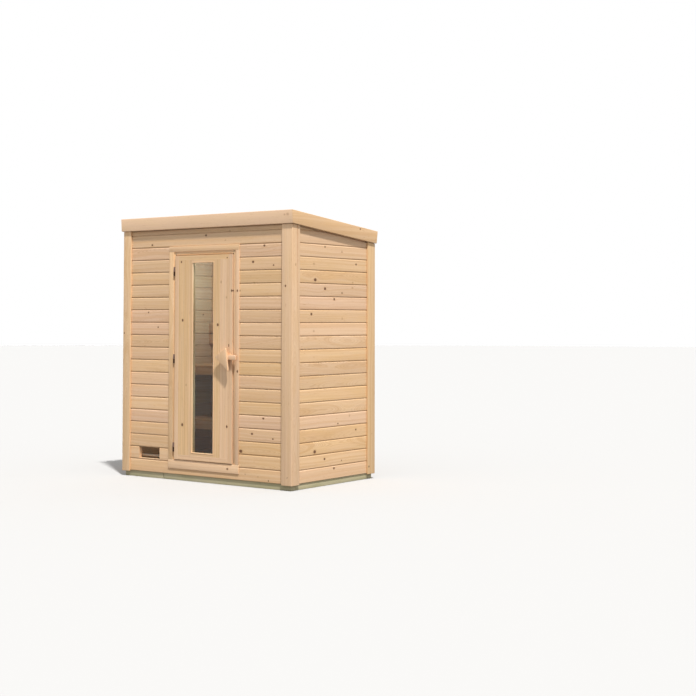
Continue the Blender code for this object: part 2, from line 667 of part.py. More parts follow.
def build_bench(name, top, front_y, slats, home, cutters):
    side = ROOM_X - SEAT_GAP
    under = top - SLAT_THICKNESS
    pitch = SLAT_WIDTH + SLAT_GAP
    back_y = front_y + slats * pitch - SLAT_GAP
    bench = box(name, (-side, front_y, top - BENCH_FRONT_HEIGHT), (side, front_y + SLAT_THICKNESS, top),
                home, trim_wood())
    for place in range(slats):
        low_y = front_y + place * pitch
        slat = box("%s_slat_%d" % (name, place), (-side, low_y, under), (side, low_y + SLAT_WIDTH, top),
                   cutters)
        join(bench, hide_cutter(slat))
    for place, middle in enumerate(spread(3)):
        bearer_front = front_y + SLAT_THICKNESS - BEARER_LET_IN
        bearer = box("%s_bearer_%d" % (name, place),
                     (middle - BEARER_WIDTH / 2, bearer_front, under - BEARER_HEIGHT),
                     (middle + BEARER_WIDTH / 2, back_y, under + BEARER_LET_IN), cutters)
        join(bench, hide_cutter(bearer))


def build_backrest(home):
    """Two slats on three upright battens against the back wall."""
    side = ROOM_X - SEAT_GAP
    wall = ROOM_Y - SEAT_GAP
    batten_front = wall - BACKREST_BATTEN
    slat_back = batten_front - SEAT_GAP
    low = BACKREST_TOP - 2 * SLAT_WIDTH - SLAT_GAP
    for name, bottom in (("backrest_slat_upper", BACKREST_TOP - SLAT_WIDTH), ("backrest_slat_lower", low)):
        box(name, (-side, slat_back - BACKREST_SLAT_THICKNESS, bottom), (side, slat_back, bottom + SLAT_WIDTH),
            home, trim_wood())
    for place, middle in zip(("left", "middle", "right"), spread(3)):
        box("backrest_batten_" + place, (middle - BEARER_WIDTH / 2, batten_front, low),
            (middle + BEARER_WIDTH / 2, wall, BACKREST_TOP - BEARER_LET_IN), home, trim_wood())


def build_benches(home, cutters):
    upper_depth = BENCH_UPPER_SLATS * (SLAT_WIDTH + SLAT_GAP) - SLAT_GAP
    upper_front = ROOM_Y - SEAT_GAP - upper_depth
    build_bench("bench_upper", BENCH_UPPER_TOP, upper_front, BENCH_UPPER_SLATS, home, cutters)
    lower_front = upper_front - BENCH_LOWER_FORWARD
    build_bench("bench_lower", BENCH_LOWER_TOP, lower_front, BENCH_LOWER_SLATS, home, cutters)
    build_backrest(home)


def main():
    for old in list(bpy.data.objects):
        bpy.data.objects.remove(old)
    home = collection("sauna_cabin")
    cutters = collection("cutters")
    axis = bpy.data.objects.new("door_hinge_axis", None)
    axis.location = (HINGE_X, HINGE_Y, 0.0)
    home.objects.link(axis)
    build_base(home)
    build_walls(home, cutters)
    build_corner_boards(home, cutters)
    build_roof(home)
    build_door_frame(home)
    build_casing(home)
    build_leaf(home, cutters, axis)
    build_handle(home, axis)
    low_hinge = DOOR_BOTTOM + HINGE_ABOVE_LEAF_BOTTOM
    high_hinge = LEAF_TOP - HINGE_BELOW_LEAF_TOP
    middle_hinge = (low_hinge + high_hinge) / 2 + HINGE_MIDDLE_LIFT
    for name, centre_z in (("bottom", low_hinge), ("middle", middle_hinge), ("top", high_hinge)):
        build_hinge(name, centre_z, home, cutters, axis)
    build_benches(home, cutters)


main()
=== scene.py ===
"""Looks of the outdoor sauna cabin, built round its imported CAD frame.

Metres in the frame's own axes: +Z up, and the front with the door faces -Y.
"""
import json
import math
import random

import bmesh
import bpy
from bpy.props import FloatProperty, FloatVectorProperty, IntProperty, PointerProperty
from mathutils import Matrix, Vector


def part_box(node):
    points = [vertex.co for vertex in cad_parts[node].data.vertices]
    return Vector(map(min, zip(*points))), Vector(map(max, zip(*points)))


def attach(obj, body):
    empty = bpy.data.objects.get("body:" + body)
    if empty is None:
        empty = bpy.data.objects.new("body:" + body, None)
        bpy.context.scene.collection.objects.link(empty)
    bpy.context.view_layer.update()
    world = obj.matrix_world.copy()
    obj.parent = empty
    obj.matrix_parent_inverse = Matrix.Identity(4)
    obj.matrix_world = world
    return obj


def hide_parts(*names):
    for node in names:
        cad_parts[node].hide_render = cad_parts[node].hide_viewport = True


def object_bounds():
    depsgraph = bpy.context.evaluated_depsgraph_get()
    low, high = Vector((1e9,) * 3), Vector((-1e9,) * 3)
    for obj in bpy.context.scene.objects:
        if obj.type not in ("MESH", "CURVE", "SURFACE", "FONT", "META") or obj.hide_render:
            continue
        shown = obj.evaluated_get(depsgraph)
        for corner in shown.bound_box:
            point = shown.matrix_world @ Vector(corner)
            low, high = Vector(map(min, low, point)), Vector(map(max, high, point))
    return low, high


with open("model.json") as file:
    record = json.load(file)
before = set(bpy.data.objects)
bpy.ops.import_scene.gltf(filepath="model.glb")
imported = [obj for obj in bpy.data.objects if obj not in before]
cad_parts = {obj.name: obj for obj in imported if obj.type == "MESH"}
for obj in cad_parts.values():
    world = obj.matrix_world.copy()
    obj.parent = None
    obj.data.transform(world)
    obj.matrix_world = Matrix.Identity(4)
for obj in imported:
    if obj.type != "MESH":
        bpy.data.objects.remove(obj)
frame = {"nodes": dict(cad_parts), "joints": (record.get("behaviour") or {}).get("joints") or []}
CAD_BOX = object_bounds()

bl_info = {
    "name": "Outdoor sauna cabin",
    "version": (1, 0, 0),
    "blender": (4, 5, 0),
    "location": "View3D > Sidebar > Sauna cabin",
    "description": "Planks, boards, door, roof and base of a small sauna cabin, set on its CAD frame",
    "category": "Object",
}

# Places that the CAD frame gives
FRONT_LEFT_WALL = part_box("front_wall_left")
FRONT_RIGHT_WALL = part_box("front_wall_right")
BACK_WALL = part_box("back_wall")
LEFT_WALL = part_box("left_wall")
RIGHT_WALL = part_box("right_wall")
ROUGH_LEFT = FRONT_LEFT_WALL[1].x
ROUGH_RIGHT = FRONT_RIGHT_WALL[0].x
ROUGH_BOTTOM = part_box("front_wall_under_door")[1].z
ROUGH_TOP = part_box("front_wall_over_door")[0].z
FASCIA_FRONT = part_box("fascia_front")
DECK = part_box("roof_deck")
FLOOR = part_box("floor")
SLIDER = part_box("vent_slider")
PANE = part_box("door_glass")
SEAT_GAP = 0.0003

# The roof's slope, as the CAD has it
ROOF_FALL = 0.0954
FASCIA_HEIGHT = 0.1115
FASCIA_THICKNESS = 0.019
# How far the front and the back fascia lean out from foot to top, by the sign of their side
FASCIA_LEANS = {-1: 0.007, 1: 0.0165}
DECK_THICKNESS = 0.045
COVERING_BELOW_EDGE = 0.008
COVERING_THICKNESS = 0.004
SLOPE_NORMAL = Vector((0.0, ROOF_FALL, 1.0)).normalized()

# Knots seen in the photo, as (across, up, radius) on each face; a radius below zero is a faint knot
FRONT_KNOTS = (
    (-0.634, 2.076, 0.0072), (0.012, 2.141, 0.0075), (0.671, 2.032, 0.0080), (0.547, 1.898, 0.0085),
    (0.770, 1.865, 0.0055), (0.398, 1.656, 0.0070), (-0.675, 1.472, 0.0055), (-0.555, 1.341, 0.0055),
    (0.543, 0.449, 0.0080), (0.420, 0.297, 0.0120), (0.666, 0.583, 0.0075), (0.770, 0.418, 0.0060),
    (0.7235, 0.068, 0.0050), (0.286, 2.172, -0.0060), (0.235, 2.092, -0.0055), (0.560, 1.720, -0.0060),
    (0.470, 0.105, -0.0050), (0.610, 0.095, -0.0050),
)
RIGHT_KNOTS = (
    (-0.264, 1.747, 0.0125), (-0.127, 1.675, 0.0105), (0.117, 1.642, 0.0065), (0.005, 1.5865, 0.0090),
    (-0.317, 1.457, 0.0095), (0.325, 1.896, 0.0075), (-0.128, 2.032, 0.0065), (0.062, 0.517, 0.0060),
    (0.3245, 0.448, 0.0070), (-0.266, 0.2995, 0.0125), (-0.129, 0.228, 0.0085), (0.114, 0.196, 0.0045),
    (0.006, 0.138, 0.0085), (-0.283, 1.314, -0.0070), (0.114, 2.000, -0.0080), (-0.283, 1.881, -0.0080),
    (0.276, 1.735, -0.0060), (0.270, 1.690, -0.0060), (0.120, 1.420, -0.0060), (0.230, 0.575, -0.0070),
)
FRONT_FASCIA_KNOTS = ((0.945, 2.283, -0.0090), (0.912, 2.281, -0.0060))
RIGHT_FASCIA_KNOTS = ((0.347, 2.2096, 0.0060),)
CASING_KNOTS = ((0.379, 1.656, 0.0070), (0.383, 0.970, 0.0080), (0.276, 0.138, 0.0070))
LEAF_KNOTS = (
    (0.320, 1.657, 0.0075), (-0.247, 1.403, 0.0085), (0.164, 1.365, 0.0090), (0.2835, 1.1885, 0.0095),
    (-0.202, 0.838, -0.0060), (-0.245, 0.489, 0.0100), (0.272, 0.497, 0.0080), (-0.266, 1.915, 0.0065),
    (0.268, 1.940, 0.0050), (0.200, 1.732, -0.0070), (0.262, 1.600, -0.0060), (-0.240, 0.540, -0.0060),
)

# Boards that stand out in the photo, as (across, up, brightness, tint, figure) of any point on them:
# tint runs from -1, pinkish, to 1, yellow, and figure from 0, straight grain, to 1, arched
FRONT_BOARDS = (
    (0.60, 0.44, 0.00, -0.2, 0.1), (0.60, 0.33, 0.00, 0.9, 0.9), (0.60, 0.22, 0.00, 0.6, 0.5),
    (0.60, 0.55, 0.00, -0.8, 0.1), (0.60, 0.68, 0.00, 0.7, 0.1), (-0.60, 1.55, -0.02, 0.3, 0.4),
    (0.00, 2.10, 0.02, 0.1, 0.1), (0.00, 2.18, -0.03, 0.2, 0.1), (-0.60, 0.13, 0.02, 0.2, 0.1),
)
RIGHT_BOARDS = (
    (0.00, 0.44, 0.00, 0.7, 0.3), (0.00, 0.33, 0.00, 0.8, 0.9), (0.00, 0.22, 0.00, 0.4, 0.1),
    (0.00, 0.55, 0.02, -0.6, 0.1), (0.00, 1.77, 0.00, 0.6, 0.7), (0.00, 1.88, 0.00, 0.5, 0.1),
    (0.00, 1.55, 0.00, -0.9, 0.1), (0.00, 1.44, 0.00, 0.3, 0.2), (0.00, 1.99, 0.02, -0.2, 0.2),
    (0.00, 0.11, 0.02, -0.3, 0.1),
)


def linear(red, green, blue):
    """A colour as a screen shows it (0 to 255), made linear for a shader."""
    return tuple((value / 255) ** 2.2 for value in (red, green, blue))


# What a user would change
class CabinSizes(bpy.types.PropertyGroup):
    cover: FloatProperty(name="Plank cover", description="Height of one wall course", default=0.1112,
                         unit="LENGTH")
    chamfer: FloatProperty(name="Plank chamfer", description="Height of the bevel along each plank's top edges",
                           default=0.0080, unit="LENGTH")
    plank_gap: FloatProperty(name="Plank gap", description="Open line left between two planks", default=0.0016,
                             unit="LENGTH")
    soft_edge: FloatProperty(name="Board edge radius", description="Rounding of corner and casing boards",
                             default=0.0025, unit="LENGTH")
    fascia_edge: FloatProperty(name="Fascia edge radius", description="Rounding of the fascia boards",
                               default=0.003, unit="LENGTH")
    floor_cover: FloatProperty(name="Floor board cover", description="Width of one floor board", default=0.0955,
                               unit="LENGTH")
    wood_seed: IntProperty(name="Wood seed", description="Picks the boards' figure and tone", default=11)


class CabinColours(bpy.types.PropertyGroup):
    pale: FloatVectorProperty(name="Pale wood", description="Early wood of the planks", subtype="COLOR",
                              default=linear(235, 199, 161))
    warm: FloatVectorProperty(name="Warm wood", description="Broad warmer bands of the planks", subtype="COLOR",
                              default=linear(224, 184, 142))
    late: FloatVectorProperty(name="Late wood", description="Narrow dark line of each growth ring",
                              subtype="COLOR", default=linear(186, 136, 90))
    knot: FloatVectorProperty(name="Knot", description="Middle of a knot", subtype="COLOR",
                              default=linear(96, 56, 26))
    timber: FloatVectorProperty(name="Treated timber", description="Greenish base timber", subtype="COLOR",
                                default=linear(190, 181, 149))
    felt: FloatVectorProperty(name="Roofing felt", description="Granules of the roof covering", subtype="COLOR",
                              default=linear(92, 92, 94))
    bronze: FloatVectorProperty(name="Hinge metal", description="Dark brown metal of the hinges",
                                subtype="COLOR", default=linear(84, 58, 44))


# Modelling by hand, one step a line
SAME_PLACE = 1e-5
SHARP_ANGLE = 35.0
CUTTER_SPARE = 0.01


def deselect_all():
    if bpy.context.mode != "OBJECT":
        bpy.ops.object.mode_set(mode="OBJECT")
    bpy.ops.object.select_all(action="DESELECT")


def hold(piece):
    """Make one piece the active and only selected one."""
    deselect_all()
    piece.select_set(True)
    bpy.context.view_layer.objects.active = piece


def edit(piece):
    hold(piece)
    bpy.ops.object.mode_set(mode="EDIT")
    bpy.ops.mesh.select_all(action="DESELECT")


def done():
    bpy.ops.object.mode_set(mode="OBJECT")


def pick(piece, kind, test):
    """Select the faces, edges or points of the piece in edit mode that pass the test."""
    bpy.ops.mesh.select_all(action="DESELECT")
    bpy.ops.mesh.select_mode(type=kind)
    shape = bmesh.from_edit_mesh(piece.data)
    items = {"FACE": shape.faces, "EDGE": shape.edges, "VERT": shape.verts}[kind]
    for item in items:
        if test(item):
            item.select_set(True)
    bmesh.update_edit_mesh(piece.data)


def middle(edge):
    return (edge.verts[0].co + edge.verts[1].co) / 2


def runs_along(edge, axis):
    span = edge.verts[1].co - edge.verts[0].co
    return abs(abs(span.normalized()[axis]) - 1.0) < 1e-3


def near(value, target):
    return abs(value - target) < SAME_PLACE


def cut(point, normal):
    """Cut the whole piece in edit mode at a plane and keep both sides."""
    bpy.ops.mesh.select_all(action="SELECT")
    bpy.ops.mesh.bisect(plane_co=point, plane_no=normal)


def bevel_picked(width, segments=1):
    bpy.ops.mesh.bevel(offset=width, segments=segments, affect="EDGES")


def extrude_picked(shift):
    bpy.ops.mesh.extrude_region_move(TRANSFORM_OT_translate={"value": shift})


def block(name, low, high):
    """A cube stretched between two corners, with its place in its mesh."""
    low, high = Vector(low), Vector(high)
    deselect_all()
    bpy.ops.mesh.primitive_cube_add(size=1.0, location=(low + high) / 2, scale=high - low)
    piece = bpy.context.object
    bpy.ops.object.transform_apply(location=True, rotation=True, scale=True)
    piece.name = name
    piece.data.name = name
    return piece


def soften(piece, radius, segments=3, angle=30.0):
    """Round every edge that turns more than the angle."""
    hold(piece)
    step = piece.modifiers.new("soft_edges", "BEVEL")
    step.width = radius
    step.segments = segments
    step.limit_method = "ANGLE"
    step.angle_limit = math.radians(angle)
    bpy.ops.object.modifier_apply(modifier=step.name)
    return piece


def soft_block(name, low, high, radius, segments=3):
    return soften(block(name, low, high), radius, segments)


def trim(piece, point, normal):
    """Cut the piece at a plane, drop what lies on the normal's side and close the cut."""
    edit(piece)
    bpy.ops.mesh.select_all(action="SELECT")
    bpy.ops.mesh.bisect(plane_co=point, plane_no=normal, use_fill=True, clear_outer=True)
    done()
    return piece


def take_out(piece, cutter):
    """Take the cutter's shape out of the piece and remove the cutter."""
    hold(piece)
    step = piece.modifiers.new("carve", "BOOLEAN")
    step.operation = "DIFFERENCE"
    step.solver = "EXACT"
    step.object = cutter
    bpy.ops.object.modifier_apply(modifier=step.name)
    bpy.data.objects.remove(cutter)
    return piece


def carve(piece, low, high):
    """Take a box out of the piece."""
    return take_out(piece, block(piece.name + "_cutter", low, high))


def merge(name, pieces):
    """Join pieces into one, keeping each as its own closed shell."""
    deselect_all()
    for piece in pieces:
        piece.select_set(True)
    bpy.context.view_layer.objects.active = pieces[0]
    if len(pieces) > 1:
        bpy.ops.object.join()
    pieces[0].name = name
    pieces[0].data.name = name
    return pieces[0]


def board_row(name, low, high, count, gap, height, width, segments):
    """Boards along X, side by side, with the two long edges at the height bevelled to the width."""
    cover = (high.y - low.y) / count
    boards = []
    for place in range(count):
        start = low.y + place * cover
        board = block(name, (low.x, start + gap, low.z), (high.x, start + cover - gap, high.z))
        edit(board)
        pick(board, "EDGE", lambda edge: runs_along(edge, 0) and near(middle(edge).z, height))
        bevel_picked(width, segments)
        done()
        boards.append(board)
    return boards


def copy_of(pattern, name, matrix):
    made = pattern.copy()
    made.data = pattern.data.copy()
    made.data.transform(matrix)
    made.name = name
    bpy.context.scene.collection.objects.link(made)
    return made


def outward(piece):
    edit(piece)
    bpy.ops.mesh.select_all(action="SELECT")
    bpy.ops.mesh.normals_make_consistent(inside=False)
    done()
    return piece


KNOT_NAMES = ("knot_a", "knot_b", "knot_c")


def shells(mesh):
    """The mesh's loose parts, as lists of point numbers."""
    shape = bmesh.new()
    shape.from_mesh(mesh)
    shape.verts.ensure_lookup_table()
    seen = set()
    parts = []
    for start in shape.verts:
        if start.index in seen:
            continue
        seen.add(start.index)
        part, queue = [], [start]
        while queue:
            point = queue.pop()
            part.append(point.index)
            for edge in point.link_edges:
                other = edge.other_vert(point)
                if other.index not in seen:
                    seen.add(other.index)
                    queue.append(other)
        parts.append(part)
    shape.free()
    return parts


def lay_grain(piece, along, face, knots=(), wild_knots=0, spread=0.05, seed=0, boards=()):
    """Give each board of the piece its own place in the wood: grain, heart, tone and knots.

    along is the axis that the fibres follow, face the axis that the wide face looks along, and
    knots and boards are as listed above. wild_knots is the most that chance may add to a board.
    """
    mesh = piece.data
    dice = random.Random(seed + bpy.context.scene.cabin_sizes.wood_seed * 1000)
    across = 3 - along - face
    flat = [axis for axis in range(3) if axis != face]
    rows = {name: [0.0] * (len(mesh.vertices) * 3) for name in ("grain", "board", "heart", *KNOT_NAMES)}
    parts = shells(mesh)
    parts.sort(key=lambda part: tuple(round(min(mesh.vertices[i].co[axis] for i in part), 4)
                                      for axis in (2, 0, 1)))
    for part in parts:
        low = Vector([min(mesh.vertices[i].co[axis] for i in part) for axis in range(3)])
        high = Vector([max(mesh.vertices[i].co[axis] for i in part) for axis in range(3)])
        centre = (low + high) / 2
        half = (high - low) / 2
        figure = dice.random() ** 3
        tone = dice.gauss(0.0, spread)
        tint = max(-1.0, min(1.0, dice.gauss(0.0, 0.45)))
        for spot_a, spot_b, board_tone, board_tint, board_figure in boards:
            spot = {flat[0]: spot_a, flat[1]: spot_b}
            if all(low[axis] < spot[axis] < high[axis] for axis in flat):
                tone, tint, figure = board_tone, board_tint, board_figure
        lean = dice.choice((-1.0, 1.0)) * dice.uniform(0.03, 0.15) * (1.0 - 0.9 * figure)
        known = {"board": (dice.uniform(0.0, 400.0), tone, tint),
                 "heart": (lean, dice.uniform(0.02, 0.07), figure)}
        here = []
        for knot_a, knot_b, radius in knots:
            spot = {flat[0]: knot_a, flat[1]: knot_b}
            if all(low[axis] < spot[axis] < high[axis] for axis in flat):
                here.append((spot[along] - centre[along], spot[across] - centre[across], radius))
        for _ in range(dice.randint(0, wild_knots) if wild_knots else 0):
            size = dice.uniform(0.003, 0.0075) * dice.choice((-1, 1, 1))
            here.append((dice.uniform(-0.95, 0.95) * half[along],
                         dice.uniform(-0.75, 0.75) * half[across], size))
        known.update(zip(KNOT_NAMES, here))
        for i in part:
            place = mesh.vertices[i].co - centre
            rows["grain"][3 * i:3 * i + 3] = (place[along], place[across], place[face])
            for name, values in known.items():
                rows[name][3 * i:3 * i + 3] = values
    for name, values in rows.items():
        made = mesh.attributes.new(name, "FLOAT_VECTOR", "POINT")
        made.data.foreach_set("vector", values)
    return piece


def dress(piece, finish, slot, body, *nodes):
    """Material, body and the CAD nodes that the piece stands for. The slot argument is not used."""
    piece.data.materials.clear()
    piece.data.materials.append(finish)
    hold(piece)
    bpy.ops.object.shade_smooth_by_angle(angle=math.radians(SHARP_ANGLE))
    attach(piece, body)
    if nodes:
        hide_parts(*nodes)
    deselect_all()
    return piece


# Materials
class Finish:
    """A material's node graph, written one line a node."""

    def __init__(self, name):
        self.material = bpy.data.materials.new(name)
        self.material.use_nodes = True
        self.tree = self.material.node_tree
        self.shader = self.tree.nodes["Principled BSDF"]
        self.output = self.tree.nodes["Material Output"]

    def feed(self, socket, value):
        if isinstance(value, bpy.types.NodeSocket):
            self.tree.links.new(value, socket)
        elif socket.type == "RGBA" and len(value) == 3:
            socket.default_value = (*value, 1.0)
        else:
            socket.default_value = value

    def new(self, kind, **settings):
        node = self.tree.nodes.new(kind)
        for name, value in settings.items():
            setattr(node, name, value)
        return node

    def math(self, operation, *values, clamp=False):
        node = self.new("ShaderNodeMath", operation=operation, use_clamp=clamp)
        for socket, value in zip(node.inputs, values):
            self.feed(socket, value)
        return node.outputs[0]

    def vector(self, operation, *values):
        node = self.new("ShaderNodeVectorMath", operation=operation)
        for socket, value in zip(node.inputs, values):
            self.feed(socket, value)
        return node.outputs["Value" if operation in ("LENGTH", "DISTANCE") else "Vector"]

    def attribute(self, name):
        return self.new("ShaderNodeAttribute", attribute_name=name).outputs["Vector"]

    def object_place(self):
        return self.new("ShaderNodeTexCoord").outputs["Object"]

    def split(self, vector):
        node = self.new("ShaderNodeSeparateXYZ")
        self.feed(node.inputs[0], vector)
        return node.outputs[0], node.outputs[1], node.outputs[2]

    def join(self, x, y, z):
        node = self.new("ShaderNodeCombineXYZ")
        for socket, value in zip(node.inputs, (x, y, z)):
            self.feed(socket, value)
        return node.outputs[0]

    def noise(self, vector, scale, detail=2.0, roughness=0.5, colour=False):
        node = self.new("ShaderNodeTexNoise")
        self.feed(node.inputs["Vector"], vector)
        node.inputs["Scale"].default_value = scale
        node.inputs["Detail"].default_value = detail
        node.inputs["Roughness"].default_value = roughness
        return node.outputs["Color" if colour else "Fac"]

    def span(self, value, low, high, to_low=0.0, to_high=1.0):
        node = self.new("ShaderNodeMapRange", interpolation_type="SMOOTHSTEP")
        for socket, given in zip(node.inputs, (value, low, high, to_low, to_high)):
            self.feed(socket, given)
        return node.outputs[0]

    def mix(self, share, first, second, blend="MIX"):
        node = self.new("ShaderNodeMix", data_type="RGBA", blend_type=blend)
        self.feed(node.inputs[0], share)
        self.feed(node.inputs[6], first)
        self.feed(node.inputs[7], second)
        return node.outputs[2]

    def bump(self, height, distance, strength=1.0):
        node = self.new("ShaderNodeBump")
        self.feed(node.inputs["Height"], height)
        node.inputs["Distance"].default_value = distance
        node.inputs["Strength"].default_value = strength
        self.feed(self.shader.inputs["Normal"], node.outputs[0])

    def surface(self, colour, roughness):
        self.feed(self.shader.inputs["Base Color"], colour)
        self.feed(self.shader.inputs["Roughness"], roughness)

    def sway(self, value, share, base):
        """The base, and the share of how far the value is from a half."""
        return self.math("MULTIPLY_ADD", self.math("SUBTRACT", value, 0.5), share, base)

    def stretched(self, grain, lengthwise, crosswise, seed):
        """A place in the wood, drawn out along its fibres."""
        u, v, w = grain
        return self.join(self.math("MULTIPLY", u, lengthwise), self.math("MULTIPLY", v, crosswise),
                         self.math("MULTIPLY_ADD", w, crosswise, seed))


def knot_parts(finish, u, v, wobble):
    """Shares of knot core, knot rim and glow, and how far the rings swell round the knots."""
    joined = None
    for name in KNOT_NAMES:
        knot_u, knot_v, size = finish.split(finish.attribute(name))
        faint = finish.math("LESS_THAN", size, 0.0)
        depth = finish.math("MULTIPLY_ADD", faint, FAINT_KNOT - 1.0, 1.0)
        radius = finish.math("ABSOLUTE", size)
        offset = finish.join(finish.math("MULTIPLY", finish.math("SUBTRACT", u, knot_u), 0.8),
                             finish.math("SUBTRACT", v, knot_v), 0.0)
        reach = finish.math("ADD", finish.vector("LENGTH", offset), wobble)
        ratio = finish.math("DIVIDE", reach, finish.math("MAXIMUM", radius, 0.00001))
        edge = finish.math("MULTIPLY", finish.span(ratio, 0.70, 0.95), finish.span(ratio, 1.0, 1.25, 1.0, 0.0))
        fall = finish.math("MULTIPLY", finish.math("MULTIPLY", ratio, ratio), -0.16)
        parts = (finish.math("MULTIPLY", finish.span(ratio, 0.75, 1.0, 1.0, 0.0), depth),
                 finish.math("MULTIPLY", edge, depth),
                 finish.span(ratio, 0.9, 2.6, 1.0, 0.0),
                 finish.math("MULTIPLY", finish.math("EXPONENT", fall), radius))
        if joined:
            rules = ("MAXIMUM", "MAXIMUM", "MAXIMUM", "ADD")
            parts = [finish.math(rule, *pair) for rule, *pair in zip(rules, joined, parts)]
        joined = parts
    return joined


# A faint knot's darkness beside a full one's, the yellow and pinkish boards' tints, the width of a
# growth ring, and the roughness of the smoothest and the roughest fibre
FAINT_KNOT = 0.22
YELLOW = (1.0, 0.975, 0.84)
PINK = (1.0, 0.988, 1.07)
RING_WIDTH = 0.0032
SMOOTHEST, ROUGHEST = 0.54, 0.68


def wood(name, pale, warm, late, knot, contrast=0.30, streaks=0.10):
    """Planed softwood: rings cut by the face, fibre streaks, a tone for each board, and knots."""
    made = Finish(name)
    grain = made.split(made.attribute("grain"))
    u, v, w = grain
    seed, tone, tint = made.split(made.attribute("board"))
    heart_v, heart_w, figure = made.split(made.attribute("heart"))
    wander = made.noise(made.join(made.math("MULTIPLY", u, 1.3), seed, 0.0), 1.0, 1.0, colour=True)
    wander_v, wander_w, broad = made.split(wander)
    ripple = made.noise(made.join(u, v, seed), 160.0, 2.0)
    wobble = made.math("MULTIPLY", made.math("SUBTRACT", ripple, 0.5), 0.004)
    core, rim, glow, swell = knot_parts(made, u, v, wobble)
    reach = made.math("MULTIPLY_ADD", figure, 0.16, 0.02)
    shift_v = made.math("SUBTRACT", made.math("SUBTRACT", v, heart_v),
                        made.math("MULTIPLY", made.math("SUBTRACT", wander_v, 0.5), reach))
    shift_w = made.math("ADD", made.math("ADD", w, heart_w),
                        made.math("MULTIPLY", made.math("SUBTRACT", wander_w, 0.5), reach))
    radius = made.vector("LENGTH", made.join(shift_v, shift_w, 0.0))
    rough_line = made.noise(made.join(made.math("MULTIPLY", u, 5.0), made.math("MULTIPLY", v, 40.0), seed),
                            1.0, 2.0)
    radius = made.math("ADD", radius, made.math("MULTIPLY", swell, 1.4))
    radius = made.math("MULTIPLY_ADD", rough_line, 0.003, radius)
    phase = made.math("FRACT", made.math("DIVIDE", radius, RING_WIDTH))
    dark_line = made.math("MULTIPLY", made.span(phase, 0.35, 0.9), made.span(phase, 0.93, 1.0, 1.0, 0.0))
    bands = made.noise(made.join(made.math("MULTIPLY", radius, 75.0), seed, made.math("MULTIPLY", u, 0.4)),
                       1.0, 2.0, 0.55)
    fibre = made.noise(made.stretched(grain, 7.0, 420.0, seed), 1.0, 3.0, 0.6)
    long_streak = made.noise(made.stretched(grain, 1.8, 70.0, seed), 1.0, 2.0, 0.5)
    colour = made.mix(made.span(bands, 0.34, 0.68), pale, warm)
    depth = made.math("MULTIPLY", made.math("MULTIPLY_ADD", figure, 0.6, 0.4), contrast)
    colour = made.mix(made.math("MULTIPLY", dark_line, depth), colour, late)
    fleck = made.noise(made.stretched(grain, 16.0, 170.0, made.math("ADD", seed, 50.0)), 1.0, 1.0)
    colour = made.mix(made.math("MULTIPLY", made.span(fleck, 0.66, 0.80), 0.45), colour, late)
    light = made.sway(broad, 0.08, made.sway(long_streak, streaks * 2.0, made.sway(fibre, 0.12, 1.0)))
    colour = made.mix(1.0, colour, made.math("ADD", light, tone), "MULTIPLY")
    patch = made.noise(made.join(made.math("MULTIPLY", u, 4.0), made.math("MULTIPLY", v, 18.0), seed), 1.0, 1.0)
    tint = made.sway(patch, 1.2, tint)
    colour = made.mix(made.math("MAXIMUM", tint, 0.0, clamp=True), colour, YELLOW, "MULTIPLY")
    colour = made.mix(made.math("MULTIPLY", tint, -1.0, clamp=True), colour, PINK, "MULTIPLY")
    colour = made.mix(made.math("MULTIPLY", glow, 0.22), colour, late)
    colour = made.mix(made.math("MULTIPLY", core, 0.92), colour, knot)
    darker = tuple(value * 0.45 for value in knot)
    colour = made.mix(made.math("MULTIPLY", rim, 0.8), colour, darker)
    made.surface(colour, made.span(fibre, 0.3, 0.7, SMOOTHEST, ROUGHEST))
    made.bump(made.math("SUBTRACT", fibre, made.math("MULTIPLY", dark_line, 0.6)), 0.0002, 0.6)
    return made.material


def treated_timber(name, colour):
    """Rough softwood, greenish in patches, with tan streaks."""
    made = Finish(name)
    grain = made.split(made.attribute("grain"))
    u, v, _ = grain
    seed, tone, _ = made.split(made.attribute("board"))
    lines = made.noise(made.stretched(grain, 5.0, 190.0, seed), 1.0, 3.0, 0.65)
    patches = made.noise(made.join(made.math("MULTIPLY", u, 3.0), made.math("MULTIPLY", v, 12.0), seed), 1.0, 3.0)
    green = tuple(value * share for value, share in zip(colour, (0.84, 0.86, 0.78)))
    tan = tuple(value * share for value, share in zip(colour, (0.98, 0.88, 0.70)))
    base = made.mix(made.span(patches, 0.35, 0.65), green, colour)
    base = made.mix(made.span(lines, 0.45, 0.75, 0.0, 0.55), base, tan)
    light = made.math("ADD", made.sway(lines, 0.5, 1.0), tone)
    base = made.mix(1.0, base, light, "MULTIPLY")
    made.surface(base, made.span(lines, 0.3, 0.7, 0.72, 0.9))
    made.bump(lines, 0.0008, 0.7)
    return made.material


def roof_felt(name, colour):
    """Mineral granules pressed into felt, a little uneven in tone."""
    made = Finish(name)
    place = made.object_place()
    grit = made.new("ShaderNodeTexVoronoi")
    made.feed(grit.inputs["Vector"], place)
    grit.inputs["Scale"].default_value = 620.0
    speck = made.split(grit.outputs["Color"])[0]
    patches = made.noise(place, 3.0, 4.0, 0.6)
    dark = tuple(value * 0.45 for value in colour)
    base = made.mix(made.span(speck, 0.1, 0.9), dark, colour)
    base = made.mix(made.span(patches, 0.4, 0.7, 0.0, 0.35), base, tuple(value * 1.5 for value in colour))
    made.surface(base, made.span(speck, 0.0, 1.0, 0.82, 0.97))
    made.bump(grit.outputs["Distance"], 0.0006, 0.6)
    return made.material


